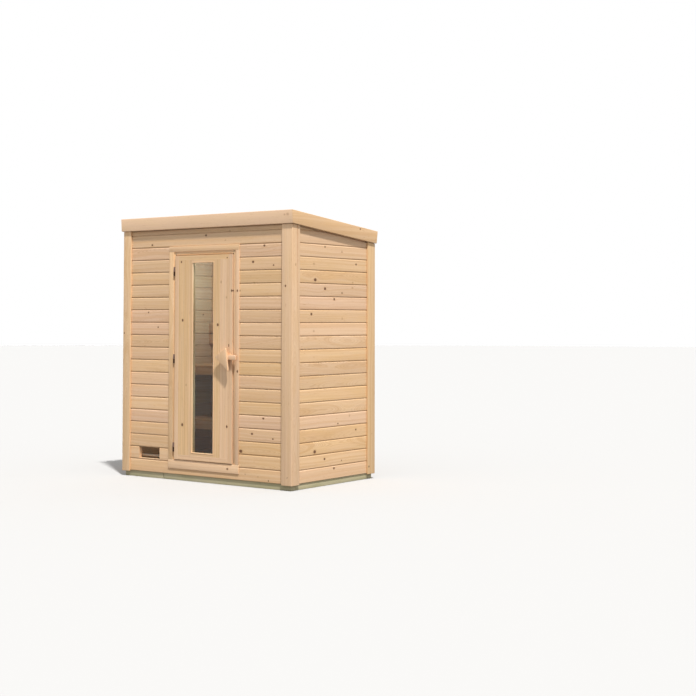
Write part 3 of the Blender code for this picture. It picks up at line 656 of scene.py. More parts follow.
def hinge_metal(name, colour):
    """Dark brown metal, worn a little paler in places."""
    made = Finish(name)
    rub = made.noise(made.object_place(), 90.0, 4.0, 0.6)
    base = made.mix(made.span(rub, 0.45, 0.75), tuple(value * 0.7 for value in colour), colour)
    made.surface(base, made.span(rub, 0.3, 0.7, 0.34, 0.52))
    made.shader.inputs["Metallic"].default_value = 0.85
    made.bump(rub, 0.0001, 0.3)
    return made.material


def pane_glass(name):
    """Clear glass that lets light straight through, with a sheen and faint wipe marks."""
    made = Finish(name)
    marks = made.noise(made.vector("MULTIPLY", made.object_place(), (6.0, 6.0, 2.0)), 1.0, 4.0, 0.6)
    clear = made.new("ShaderNodeBsdfTransparent")
    clear.inputs["Color"].default_value = (0.80, 0.83, 0.82, 1.0)
    gloss = made.new("ShaderNodeBsdfGlossy")
    gloss.inputs["Color"].default_value = (1.0, 1.0, 1.0, 1.0)
    made.feed(gloss.inputs["Roughness"], made.span(marks, 0.4, 0.8, 0.02, 0.07))
    fresnel = made.new("ShaderNodeFresnel")
    fresnel.inputs["IOR"].default_value = 1.45
    outside = made.math("SUBTRACT", 1.0, made.new("ShaderNodeNewGeometry").outputs["Backfacing"])
    both = made.new("ShaderNodeMixShader")
    made.feed(both.inputs[0], made.math("MULTIPLY", fresnel.outputs[0], outside))
    made.feed(both.inputs[1], clear.outputs[0])
    made.feed(both.inputs[2], gloss.outputs[0])
    made.feed(made.output.inputs["Surface"], both.outputs[0])
    made.tree.nodes.remove(made.shader)
    return made.material


def warmer(colour, share):
    """The same colour, redder and yellower by the share."""
    return tuple(value * factor for value, factor in zip(colour, (1.0, 1.0 - 0.5 * share, 1.0 - 1.3 * share)))


def softwood(name, brightness=1.0, warmth=0.0, evenness=0.0, **settings):
    """Planed softwood in the cabin's colours, made once for each name."""
    if name in bpy.data.materials:
        return bpy.data.materials[name]
    colours = bpy.context.scene.cabin_colours
    band = [warm + (pale - warm) * evenness for warm, pale in zip(colours.warm, colours.pale)]
    pale, warm, late, knot = [warmer([value * brightness for value in shade_of], warmth)
                              for shade_of in (colours.pale, band, colours.late, colours.knot)]
    return wood(name, pale, warm, late, knot, **settings)


# The roof's slope
def roof_line(y):
    """Height of the fascia's top edge over the line y."""
    return FASCIA_FRONT[1].z - ROOF_FALL * (y - FASCIA_FRONT[0].y)


def trim_under_roof(piece, drop):
    return trim(piece, (0.0, 0.0, roof_line(0.0) - drop), SLOPE_NORMAL)


def follow_roof(piece):
    """Slide the piece's points up or down with the roof's slope."""
    slope = Matrix.Identity(4)
    slope[2][1] = -ROOF_FALL
    piece.data.transform(slope)
    return piece


SHADOW_GAP_DEPTH = 0.012


def carve_shadow_gap(wall, face, along, height):
    """Cut the narrow dark line that stays open between a wall's top plank and the fascia's foot."""
    foot = roof_line(0.0) - FASCIA_HEIGHT - height
    inner = face - math.copysign(SHADOW_GAP_DEPTH, face)
    outer = face + math.copysign(CUTTER_SPARE, face)
    low, high = Vector((-2.0, -2.0, foot)), Vector((2.0, 2.0, foot + height + 0.02))
    low[1 - along], high[1 - along] = min(inner, outer), max(inner, outer)
    return take_out(wall, follow_roof(block("gap_cutter", low, high)))


# Planks. The depth of the top bevel and the width of the foot bevel are shares of the top bevel's height
JOINT_DROP = 0.0030
TOP_CHAMFER_DEPTH = 0.6
FOOT_CHAMFER = 0.65
CHAMFER_EDGE = 0.0015
TONGUE_HALF = 0.0040
TONGUE_HEIGHT = 0.0070
GROOVE_HALF = 0.0045
GROOVE_DEPTH = 0.0085


def plank_pattern(name, cover, thickness, chamfer, gap):
    """One tongue-and-groove plank a metre long along X, standing on z = 0 with its faces across Y."""
    deselect_all()
    height = cover - gap + TONGUE_HEIGHT
    bpy.ops.mesh.primitive_plane_add(size=1.0, location=(-0.5, 0.0, height / 2),
                                     rotation=(0.0, math.pi / 2, 0.0))
    plank = bpy.context.object
    plank.scale = (height, thickness, 1.0)
    bpy.ops.object.transform_apply(location=True, rotation=True, scale=True)
    plank.name = name
    edit(plank)
    body_top = cover - gap
    for level in (GROOVE_DEPTH, body_top):
        cut((0.0, 0.0, level), (0.0, 0.0, 1.0))
    for side in (-GROOVE_HALF, GROOVE_HALF):
        cut((0.0, side, 0.0), (0.0, 1.0, 0.0))

    def spare(face):
        place = face.calc_center_median()
        if place.z > body_top:
            return abs(place.y) > GROOVE_HALF
        return place.z < GROOVE_DEPTH and abs(place.y) < GROOVE_HALF

    pick(plank, "FACE", spare)
    bpy.ops.mesh.delete(type="FACE")
    pick(plank, "VERT", lambda point: point.co.z > body_top + 1e-4)
    bpy.ops.transform.resize(value=(1.0, TONGUE_HALF / GROOVE_HALF, 1.0))
    bpy.ops.mesh.select_all(action="SELECT")
    extrude_picked((1.0, 0.0, 0.0))
    half = thickness / 2
    foot = FOOT_CHAMFER * chamfer
    for height, width in ((0.0, foot), (body_top, chamfer)):
        pick(plank, "EDGE", lambda edge: runs_along(edge, 0) and near(abs(middle(edge).y), half)
             and near(middle(edge).z, height))
        bevel_picked(width)
    pick(plank, "VERT", lambda point: near(point.co.z, body_top) and near(abs(point.co.y), half - chamfer))
    bpy.ops.transform.resize(value=(1.0, (half - TOP_CHAMFER_DEPTH * chamfer) / (half - chamfer), 1.0))
    pick(plank, "EDGE", lambda edge: runs_along(edge, 0) and near(abs(middle(edge).y), half)
         and (near(middle(edge).z, foot) or near(middle(edge).z, body_top - chamfer)))
    bevel_picked(CHAMFER_EDGE, 2)
    done()
    return outward(plank)


def stack_planks(name, pattern, cover, low, high, along):
    """Courses of the pattern from low to high, running along X (0) or Y (1), the first cut to fit."""
    start = low.z - JOINT_DROP
    courses = math.ceil((high.z - start) / cover)
    length = high[along] - low[along]
    centre = (low + high) / 2
    turn = Matrix.Rotation(math.pi / 2 * along, 4, "Z")
    rows = []
    for course in range(courses):
        place = Matrix.Translation((centre.x, centre.y, start + course * cover))
        rows.append(copy_of(pattern, name, place @ turn @ Matrix.Diagonal((length, 1.0, 1.0, 1.0))))
    return trim(merge(name, rows), low, (0.0, 0.0, -1.0))


FRONT_SHADOW_GAP = 0.007
SIDE_SHADOW_GAP = 0.011
# The vent slot, from the bar behind it: how much narrower and lower it is, and the wood left over it
VENT_INSET = 0.020
VENT_DROP = 0.0145
VENT_LIP = 0.012


class CABIN_OT_wall_planks(bpy.types.Operator):
    """Build the four plank walls, cut for the doorway and the vent slot"""
    bl_idname = "cabin.wall_planks"
    bl_label = "Wall planks"

    def execute(self, context):
        sizes = context.scene.cabin_sizes
        drop = COVERING_BELOW_EDGE + COVERING_THICKNESS + DECK_THICKNESS + 2 * SEAT_GAP
        thickness = FRONT_LEFT_WALL[1].y - FRONT_LEFT_WALL[0].y
        pattern = plank_pattern("plank", sizes.cover, thickness, sizes.chamfer, sizes.plank_gap)
        finish = softwood("wall_spruce", 0.94, 0.01)
        front_low = FRONT_LEFT_WALL[0]
        front_high = Vector((FRONT_RIGHT_WALL[1].x, FRONT_LEFT_WALL[1].y, FRONT_LEFT_WALL[1].z))
        front = stack_planks("front_planks", pattern, sizes.cover, front_low, front_high, 0)
        reach = Vector((0.0, thickness, 0.0))
        carve(front, Vector((ROUGH_LEFT, front_low.y, ROUGH_BOTTOM)) - reach,
              Vector((ROUGH_RIGHT, front_high.y, ROUGH_TOP)) + reach)
        vent_low = Vector((SLIDER[0].x + VENT_INSET, front_low.y, SLIDER[0].z - VENT_DROP))
        vent_high = Vector((SLIDER[1].x - VENT_INSET, front_high.y, vent_low.z + sizes.cover - VENT_LIP))
        carve(front, vent_low - reach, vent_high + reach)
        trim_under_roof(front, drop)
        carve_shadow_gap(front, front_low.y, 0, FRONT_SHADOW_GAP)
        lay_grain(front, 0, 1, FRONT_KNOTS, seed=1, spread=0.03, boards=FRONT_BOARDS)
        dress(front, finish, "wall_planks", "cabin", "front_wall_left", "front_wall_right",
              "front_wall_over_door", "front_wall_under_door")
        rest = (("back_planks", BACK_WALL, 0, "back_wall", (), 2, ()),
                ("left_planks", LEFT_WALL, 1, "left_wall", (), 2, ()),
                ("right_planks", RIGHT_WALL, 1, "right_wall", RIGHT_KNOTS, 0, RIGHT_BOARDS))
        for seed, (name, (low, high), along, node, knots, wild, boards) in enumerate(rest, 2):
            wall = stack_planks(name, pattern, sizes.cover, low, high, along)
            trim_under_roof(wall, drop)
            face = low[1 - along] if low[1 - along] < -abs(high[1 - along]) else high[1 - along]
            carve_shadow_gap(wall, face, along, SIDE_SHADOW_GAP if along else FRONT_SHADOW_GAP)
            lay_grain(wall, along, 1 - along, knots, wild, seed=seed, spread=0.03, boards=boards)
            dress(wall, finish, "wall_planks", "cabin", node)
        bpy.data.objects.remove(pattern)
        return {"FINISHED"}


BOARD_SHADOW_GAP = 0.004
BOARD_SPARE = 0.05
CRACK_LINE = -0.5240
CRACK_FOOT = 1.25
CRACK_WIDTH = 0.0065
CRACK_DEPTH = 0.0070
CRACK_TAPER = 0.05


def carve_crack(board, face):
    """Cut the drying crack that runs down from the board's top and tapers out."""
    cutter = block("crack_cutter", (face - CRACK_DEPTH, CRACK_LINE - CRACK_WIDTH / 2, CRACK_FOOT),
                   (face + CUTTER_SPARE, CRACK_LINE + CRACK_WIDTH / 2, CAD_BOX[1].z))
    edit(cutter)
    pick(cutter, "VERT", lambda point: near(point.co.z, CRACK_FOOT))
    bpy.ops.transform.resize(value=(1.0, CRACK_TAPER, 1.0))
    done()
    take_out(board, cutter)


class CABIN_OT_corner_boards(bpy.types.Operator):
    """Build the eight corner boards, two to a corner, with soft edges and their tops on the slope"""
    bl_idname = "cabin.corner_boards"
    bl_label = "Corner boards"

    def execute(self, context):
        facing_sides = softwood("corner_spruce", 1.02, -0.01, contrast=0.20, streaks=0.07)
        facing_ends = softwood("pale_corner_spruce", 1.12, -0.02, evenness=0.3, contrast=0.20, streaks=0.07)
        for seed, (pair, face) in enumerate((("front_left", 1), ("front_right", 1), ("back_left", 1),
                                             ("back_right", 1), ("right_front", 0), ("right_back", 0),
                                             ("left_front", 0), ("left_back", 0)), 20):
            node = "corner_board_" + pair
            low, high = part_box(node)
            board = soft_block(node + "_look", low, high + Vector((0.0, 0.0, BOARD_SPARE)),
                               context.scene.cabin_sizes.soft_edge)
            trim_under_roof(board, FASCIA_HEIGHT + BOARD_SHADOW_GAP)
            if pair == "right_front":
                carve_crack(board, high.x)
            lay_grain(board, 2, face, wild_knots=2, seed=seed, spread=0.01)
            dress(board, facing_ends if face else facing_sides, "corner_boards", "cabin", node)
        return {"FINISHED"}


def mitre_plane(side_x, side_y):
    """Corner of two fascias: a point on the corner line and the normal towards the side board."""
    reach_x = CAD_BOX[1].x
    reach_y = side_y * (-FASCIA_FRONT[0].y - FASCIA_LEANS[side_y])
    low = Vector((side_x * reach_x, reach_y, roof_line(reach_y) - FASCIA_HEIGHT))
    lean = Vector((0.0, side_y * FASCIA_LEANS[side_y], FASCIA_HEIGHT))
    normal = lean.cross(Vector((-side_x, -side_y, 0.0))).normalized()
    return low, normal if normal.x * side_x > 0 else -normal


class CABIN_OT_fascias(bpy.types.Operator):
    """Build the four fascia boards, mitred at the corners and following the roof"""
    bl_idname = "cabin.fascias"
    bl_label = "Fascias"

    def execute(self, context):
        radius = context.scene.cabin_sizes.fascia_edge
        # The front and back fascias get a paler copy of the wood and the side fascias a darker one: painted light
        # and painted shade, offsetting the front board's lean away from the sun and the sides' stronger sun
        front = softwood("fascia_spruce", 1.14, -0.01, evenness=1.0, contrast=0.12, streaks=0.05)
        rest = softwood("side_fascia_spruce", 0.93, 0.06, contrast=0.18, streaks=0.05)
        reach = 1.2
        for side_y, name, seed in ((-1, "fascia_front", 40), (1, "fascia_back", 41)):
            outer = side_y * (-FASCIA_FRONT[0].y - FASCIA_LEANS[side_y])
            inner = outer - side_y * FASCIA_THICKNESS
            lean = side_y * FASCIA_LEANS[side_y]
            edges = sorted((outer, inner))
            board = block(name + "_look", (-reach, edges[0], 0.0), (reach, edges[1], FASCIA_HEIGHT))
            edit(board)
            for y in (outer, inner):
                for top, shift in ((0, Vector((0.0, 0.0, roof_line(y) - FASCIA_HEIGHT))),
                                   (1, Vector((0.0, lean, roof_line(y + lean) - FASCIA_HEIGHT)))):
                    pick(board, "VERT", lambda point: near(point.co.y, y)
                         and near(point.co.z, top * FASCIA_HEIGHT))
                    bpy.ops.transform.translate(value=shift)
            done()
            soften(board, radius, 4)
            for side_x in (-1, 1):
                point, normal = mitre_plane(side_x, side_y)
                trim(board, point - normal * SEAT_GAP / 2, normal)
            knots, wild_knots = ((), 3) if side_y > 0 else (FRONT_FASCIA_KNOTS, 0)
            lay_grain(board, 0, 1, knots, wild_knots, 0.0, seed, ((0.0, 2.25, 0.0, -0.4, 0.1),))
            dress(board, front, "fascia_boards", "cabin", name)
        for side_x, name, seed in ((-1, "fascia_left", 42), (1, "fascia_right", 43)):
            outer = side_x * CAD_BOX[1].x
            edges = sorted((outer, outer - side_x * FASCIA_THICKNESS))
            top = roof_line(-reach)
            board = block(name + "_look", (edges[0], -reach, top - FASCIA_HEIGHT), (edges[1], reach, top))
            edit(board)
            pick(board, "VERT", lambda point: point.co.y > 0.0)
            bpy.ops.transform.translate(value=(0.0, 0.0, -2 * reach * ROOF_FALL))
            done()
            soften(board, radius, 4)
            for side_y in (-1, 1):
                point, normal = mitre_plane(side_x, side_y)
                trim(board, point + normal * SEAT_GAP / 2, -normal)
            knots, wild_knots = (RIGHT_FASCIA_KNOTS, 0) if side_x > 0 else ((), 2)
            lay_grain(board, 1, 0, knots, wild_knots, 0.0, seed, ((0.0, 2.21, 0.0, 0.4, 0.1),))
            dress(board, rest, "fascia_boards", "cabin", name)
        return {"FINISHED"}


CEILING_BOARDS = 12
CEILING_GAP = 0.0003
CEILING_CHAMFER = 0.004
FELT_STRIPS = 3
FELT_LAP = 0.09
FELT_THICKNESS = 0.0018
FELT_LIFT = 0.0021
FELT_EDGE = 0.0006


class CABIN_OT_roof(bpy.types.Operator):
    """Build the ceiling boards and the lapped strips of roofing felt"""
    bl_idname = "cabin.roof"
    bl_label = "Roof"

    def execute(self, context):
        low, high = DECK
        drop = COVERING_BELOW_EDGE + COVERING_THICKNESS + SEAT_GAP
        under = roof_line(0.0) - drop - DECK_THICKNESS
        boards = board_row("ceiling_board", Vector((low.x, low.y, under)),
                           Vector((high.x, high.y, under + DECK_THICKNESS)), CEILING_BOARDS, CEILING_GAP,
                           under, CEILING_CHAMFER, 1)
        deck = merge("ceiling_boards_look", [follow_roof(board) for board in boards])
        lay_grain(deck, 0, 2, wild_knots=3, seed=50, spread=0.03)
        dress(deck, softwood("ceiling_spruce", 0.95, 0.03), "ceiling_boards", "cabin", "roof_deck")

        strips = []
        bottom = roof_line(0.0) - COVERING_BELOW_EDGE - COVERING_THICKNESS
        step = (high.y - low.y) / FELT_STRIPS
        for place in range(FELT_STRIPS):
            start = low.y + place * step
            end = min(high.y, start + step + FELT_LAP)
            strip = block("felt_strip", (low.x, start, bottom), (high.x, end, bottom + FELT_THICKNESS))
            edit(strip)
            if place < FELT_STRIPS - 1:
                pick(strip, "VERT", lambda point: near(point.co.y, end))
                bpy.ops.transform.translate(value=(0.0, 0.0, FELT_LIFT))
            done()
            soften(strip, FELT_EDGE, 2)
            strips.append(follow_roof(strip))
        felt = merge("roof_felt_look", strips)
        dress(felt, roof_felt("roof_felt", context.scene.cabin_colours.felt), "roof_felt", "cabin",
              "roof_covering")
        return {"FINISHED"}


BUTT_LINE = -0.484
BUTT_HALF = 0.003
BEAM_EDGE = 0.0025


class CABIN_OT_base(bpy.types.Operator):
    """Build the treated base beams, the front one in two lengths butted together, and the joist"""
    bl_idname = "cabin.base"
    bl_label = "Base"

    def execute(self, context):
        finish = treated_timber("treated_timber", context.scene.cabin_colours.timber)
        low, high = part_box("base_beam_front")
        left = soft_block("beam_length", low, (BUTT_LINE - BUTT_HALF, high.y, high.z), BEAM_EDGE)
        right = soft_block("beam_length", (BUTT_LINE + BUTT_HALF, low.y, low.z), high, BEAM_EDGE)
        front = merge("base_beam_front_look", [left, right])
        lay_grain(front, 0, 1, seed=60, spread=0.03)
        dress(front, finish, "base_timber", "cabin", "base_beam_front")
        rest = (("base_beam_back", 0), ("base_beam_left", 1), ("base_beam_right", 1), ("base_joist_middle", 1))
        for seed, (node, along) in enumerate(rest, 61):
            beam = soft_block(node + "_look", *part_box(node), BEAM_EDGE)
            lay_grain(beam, along, 1 - along, seed=seed, spread=0.03)
            dress(beam, finish, "base_timber", "cabin", node)
        return {"FINISHED"}


FLOOR_GAP = 0.0004
FLOOR_EDGE = 0.0015


class CABIN_OT_floor_boards(bpy.types.Operator):
    """Build the floor boards inside"""
    bl_idname = "cabin.floor_boards"
    bl_label = "Floor boards"

    def execute(self, context):
        low, high = FLOOR
        count = round((high.y - low.y) / context.scene.cabin_sizes.floor_cover)
        boards = board_row("floor_board", low, high, count, FLOOR_GAP, high.z, FLOOR_EDGE, 2)
        floor = merge("floor_boards_look", boards)
        lay_grain(floor, 0, 2, wild_knots=3, seed=70, spread=0.04)
        dress(floor, softwood("floor_spruce", 0.92, 0.03), "floor_boards", "cabin", "floor")
        return {"FINISHED"}


# How the casing boards differ from their nodes
NARROWER_CASING = 0.010
THINNER_CASING = 0.0112
CASING_REACH_LEFT = 0.009
CASING_REACH_RIGHT = 0.004
CASING_SOFTNESS = 0.6
# Room left round the leaf in its lining: at its sides, at its head and foot, and behind it
ROOM_AT_SIDES = 0.008
ROOM_AT_ENDS = 0.0055
ROOM_BEHIND = 0.0055
LINING_EDGE = 0.0012


class CABIN_OT_door_frame(bpy.types.Operator):
    """Build the casing boards round the door and the rebated lining behind them"""
    bl_idname = "cabin.door_frame"
    bl_label = "Door frame"

    def execute(self, context):
        finish = softwood("frame_spruce", 1.02, 0.0, contrast=0.20, streaks=0.07)
        stop_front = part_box("door_rail_top")[1].y + ROOM_BEHIND
        opening = {"left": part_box("door_stile_left")[0].x - ROOM_AT_SIDES,
                   "right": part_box("door_stile_right")[1].x + ROOM_AT_SIDES,
                   "head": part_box("door_stile_left")[1].z + ROOM_AT_ENDS,
                   "sill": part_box("door_stile_left")[0].z - ROOM_AT_ENDS}
        for seed, (side, along) in enumerate((("left", 2), ("right", 2), ("head", 0), ("sill", 0)), 80):
            node = "door_casing_" + side
            low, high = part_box(node)
            low, high = low + Vector((0.0, THINNER_CASING, 0.0)), high.copy()
            if side == "right":
                low.x += NARROWER_CASING
            else:
                low.x -= CASING_REACH_LEFT
            if side != "left":
                high.x += CASING_REACH_RIGHT
            if side == "sill":
                high.z = opening["sill"] - SEAT_GAP
            elif side != "head":
                low.z = opening["sill"]
            board = soft_block(node + "_look", low, high, CASING_SOFTNESS * context.scene.cabin_sizes.soft_edge)
            lay_grain(board, along, 1, CASING_KNOTS, seed=seed, spread=0.015)
            dress(board, finish, "door_frame_wood", "cabin", node)
        for seed, (side, along, across, sign) in enumerate((("left", 2, 0, 1), ("right", 2, 0, -1),
                                                            ("head", 0, 2, -1), ("sill", 0, 2, 1)), 84):
            node = "door_frame_" + side
            low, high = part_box(node)
            low, high = low.copy(), high.copy()
            stop = high[across] if sign > 0 else low[across]
            if sign > 0:
                high[across] = opening[side]
            else:
                low[across] = opening[side]
            piece = block(node + "_look", low, high)
            edit(piece)
            cut((0.0, stop_front, 0.0), (0.0, 1.0, 0.0))
            pick(piece, "FACE", lambda face: near(face.calc_center_median()[across], opening[side])
                 and face.calc_center_median().y > stop_front)
            shift = Vector((0.0, 0.0, 0.0))
            shift[across] = stop - opening[side]
            extrude_picked(shift)
            if along == 0:
                for end, reach in ((low.x, opening["left"] + SEAT_GAP), (high.x, opening["right"] - SEAT_GAP)):
                    pick(piece, "FACE", lambda face: near(face.calc_center_median().x, end)
                         and face.calc_center_median().y < stop_front)
                    extrude_picked((reach - end, 0.0, 0.0))
            done()
            soften(outward(piece), LINING_EDGE, 2)
            lay_grain(piece, along, 1, seed=seed, spread=0.02)
            dress(piece, finish, "door_frame_wood", "cabin", node)
        return {"FINISHED"}


LEAF_EDGE = 0.044
LEAF_RAIL = 0.042
LEAF_SEAMS = (-0.2116, -0.1700, 0.1875)
LEAF_BOARD_EDGE = 0.0006
BEAD_WIDTH = 0.0075
BEAD_HEIGHT = 0.0022
BEAD_SINK = 0.0005
BEAD_EDGE = 0.0020
# As FRONT_BOARDS, for the boards of the leaf
LEAF_BOARDS = (
    (-0.32, 1.0, 0.03, -0.4, 0.1), (-0.25, 1.0, -0.02, 0.9, 0.1), (-0.19, 1.0, -0.01, 0.7, 0.1),
    (-0.15, 1.0, 0.00, 0.3, 0.1), (0.15, 1.0, 0.00, 0.8, 0.1), (0.23, 1.0, 0.06, -0.3, 0.1),
    (0.30, 1.0, 0.00, -0.3, 0.1),
)
# As LEAF_BOARDS, for the short boards that lie across
LEAF_RAILS = (
    (0.0, 1.95, 0.00, 0.7, 0.1), (0.0, 1.92, -0.01, 0.5, 0.1), (0.0, 0.24, 0.01, 0.1, 0.1),
    (0.0, 0.20, 0.03, -0.3, 0.1),
)


class CABIN_OT_door_leaf(bpy.types.Operator):
    """Build the leaf from upright boards and two rails, with a bead round its pane"""
    bl_idname = "cabin.door_leaf"
    bl_label = "Door leaf"

    def execute(self, context):
        finish = softwood("door_spruce", 0.99, 0.0, contrast=0.24, streaks=0.16)
        left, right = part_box("door_stile_left"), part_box("door_stile_right")
        low = left[0]
        high = right[1]
        sight_low = Vector((left[1].x, low.y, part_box("door_rail_bottom")[1].z))
        sight_high = Vector((right[0].x, high.y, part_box("door_rail_top")[0].z))
        inner_low, inner_high = low.z + LEAF_RAIL, high.z - LEAF_RAIL
        first, last = low.x + LEAF_EDGE, high.x - LEAF_EDGE
        seam_a, seam_b, seam_c = LEAF_SEAMS
        upright = [(low.x, first, low.z, high.z), (last, high.x, low.z, high.z)]
        for start, end in ((first, seam_a), (seam_a, seam_b), (seam_b, sight_low.x),
                           (sight_high.x, seam_c), (seam_c, last)):
            upright.append((start, end, inner_low, inner_high))
        across = [(first, last, inner_high, high.z), (first, last, low.z, inner_low),
                  (sight_low.x, sight_high.x, sight_high.z, inner_high),
                  (sight_low.x, sight_high.x, inner_low, sight_low.z)]
        groove = (PANE[0] - Vector((SEAT_GAP,) * 3), PANE[1] + Vector((SEAT_GAP,) * 3))
        halves = []
        for seed, (along, places, boards) in enumerate(((2, upright, LEAF_BOARDS), (0, across, LEAF_RAILS)), 90):
            pieces = []
            for start, end, bottom, top in places:
                board = soft_block("leaf_board", (start, low.y, bottom), (end, high.y, top), LEAF_BOARD_EDGE, 1)
                if groove[0].x < end and start < groove[1].x and groove[0].z < top and bottom < groove[1].z:
                    carve(board, *groove)
                pieces.append(board)
            half = merge("leaf_boards", pieces)
            lay_grain(half, along, 1, LEAF_KNOTS, seed=seed, spread=0.02, boards=boards)
            halves.append(half)
        bead = block("pane_bead", (sight_low.x - BEAD_WIDTH, low.y - BEAD_HEIGHT, sight_low.z - BEAD_WIDTH),
                     (sight_high.x + BEAD_WIDTH, low.y + BEAD_SINK, sight_high.z + BEAD_WIDTH))
        inside = Vector((BEAD_SINK, 0.1, BEAD_SINK))
        carve(bead, sight_low - inside, sight_high + inside)
        soften(bead, BEAD_EDGE, 3)
        lay_grain(bead, 2, 1, seed=93, boards=((0.0, 1.0, 0.08, 0.2, 0.0),))
        leaf = merge("door_leaf_look", halves + [bead])
        dress(leaf, finish, "door_wood", "door", "door_stile_left", "door_stile_right", "door_rail_top",
              "door_rail_bottom")
        glass = frame["nodes"]["door_glass"]
        glass.data.materials.clear()
        glass.data.materials.append(pane_glass("pane_glass"))
        return {"FINISHED"}


# The pull's plate: its top, left and right corner as (across, up), its roundings, and the circle it starts from
HANDLE_CORNERS = ((0.292, 1.167), (0.173, 1.091), (0.318, 0.973))
HANDLE_CORNER_RADIUS = 0.007
HANDLE_EDGE = 0.0038
HANDLE_START = (0.25, 1.08)
HANDLE_START_RADIUS = 0.08
# The block behind it, and the room it keeps in front of the casing
GRIP_EDGE = 0.002
GRIP_ROOM = 0.0055


class CABIN_OT_door_handle(bpy.types.Operator):
    """Build the three-cornered wooden pull and the block that holds it off the leaf"""
    bl_idname = "cabin.door_handle"
    bl_label = "Door handle"

    def execute(self, context):
        finish = softwood("handle_spruce", 1.02, 0.0, contrast=0.34)
        low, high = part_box("door_handle")
        deselect_all()
        bpy.ops.mesh.primitive_circle_add(vertices=3, radius=HANDLE_START_RADIUS, fill_type="NGON",
                                          rotation=(math.pi / 2, 0.0, 0.0),
                                          location=(HANDLE_START[0], low.y, HANDLE_START[1]))
        plate = bpy.context.object
        bpy.ops.object.transform_apply(location=True, rotation=True, scale=True)
        plate.name = "door_handle_look"
        edit(plate)
        shape = bmesh.from_edit_mesh(plate.data)
        starts = [point.co.copy() for point in shape.verts]
        order = (max(starts, key=lambda place: place.z),
                 min(starts, key=lambda place: place.x), max(starts, key=lambda place: place.x))
        for start, (x, z) in zip(order, HANDLE_CORNERS):
            pick(plate, "VERT", lambda point: (point.co - start).length < SAME_PLACE)
            bpy.ops.transform.translate(value=Vector((x, low.y, z)) - start)
        bpy.ops.mesh.select_all(action="SELECT")
        extrude_picked((0.0, high.y - low.y, 0.0))
        pick(plate, "EDGE", lambda edge: runs_along(edge, 1))
        bevel_picked(HANDLE_CORNER_RADIUS, 6)
        done()
        soften(outward(plate), HANDLE_EDGE, 3, 50.0)
        lay_grain(plate, 2, 1, seed=95, spread=0.0)
        dress(plate, finish, "handle_wood", "door", "door_handle")

        low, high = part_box("door_handle_block")
        leaf_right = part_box("door_stile_right")[1].x
        over_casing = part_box("door_casing_right")[0].y - GRIP_ROOM
        grip = block("door_handle_block_look", low, (high.x, over_casing, high.z))
        edit(grip)
        cut((leaf_right, 0.0, 0.0), (1.0, 0.0, 0.0))
        pick(grip, "FACE", lambda face: near(face.calc_center_median().y, over_casing)
             and face.calc_center_median().x < leaf_right)
        extrude_picked((0.0, high.y - over_casing, 0.0))
        done()
        soften(outward(grip), GRIP_EDGE, 3)
        lay_grain(grip, 0, 1, seed=96, spread=0.0)
        dress(grip, finish, "handle_wood", "door", "door_handle_block")
        return {"FINISHED"}


BARREL_RADIUS = 0.007
BARREL_END = 0.0012
BARREL_RINGS = (0.004, 0.005)
PIN_RADIUS = 0.0029
PIN_REACH = 0.003
BORE_HALF = 0.0032
HALVES_GAP = 0.0005
# The hinges' flat parts: their roundings, their shortfall at top and foot, and their places by the pin
FLAT_EDGE = 0.0004
FLAT_SHORT = 0.0004
FOOT_INSET = 0.004
FOOT_FRONT = 0.001
FOOT_REACH = 0.0020
WING_START = 0.005
WING_FRONT = 0.0003
WING_BACK = 0.0025
PLATE_THICKNESS = 0.0025


def knuckle(name, centre, bottom, top, radius):
    """A hinge barrel or pin with rounded ends and two edge rings near each."""
    deselect_all()
    bpy.ops.mesh.primitive_cylinder_add(vertices=32, radius=radius, depth=top - bottom,
                                        location=(centre.x, centre.y, (bottom + top) / 2))
    barrel = bpy.context.object
    bpy.ops.object.transform_apply(location=True, rotation=True, scale=True)
    barrel.name = name
    edit(barrel)
    for ring in BARREL_RINGS:
        cut((0.0, 0.0, bottom + ring), (0.0, 0.0, 1.0))
        cut((0.0, 0.0, top - ring), (0.0, 0.0, 1.0))
    pick(barrel, "EDGE", lambda edge: near(middle(edge).z, bottom) or near(middle(edge).z, top))
    bevel_picked(BARREL_END, 3)
    done()
    return barrel


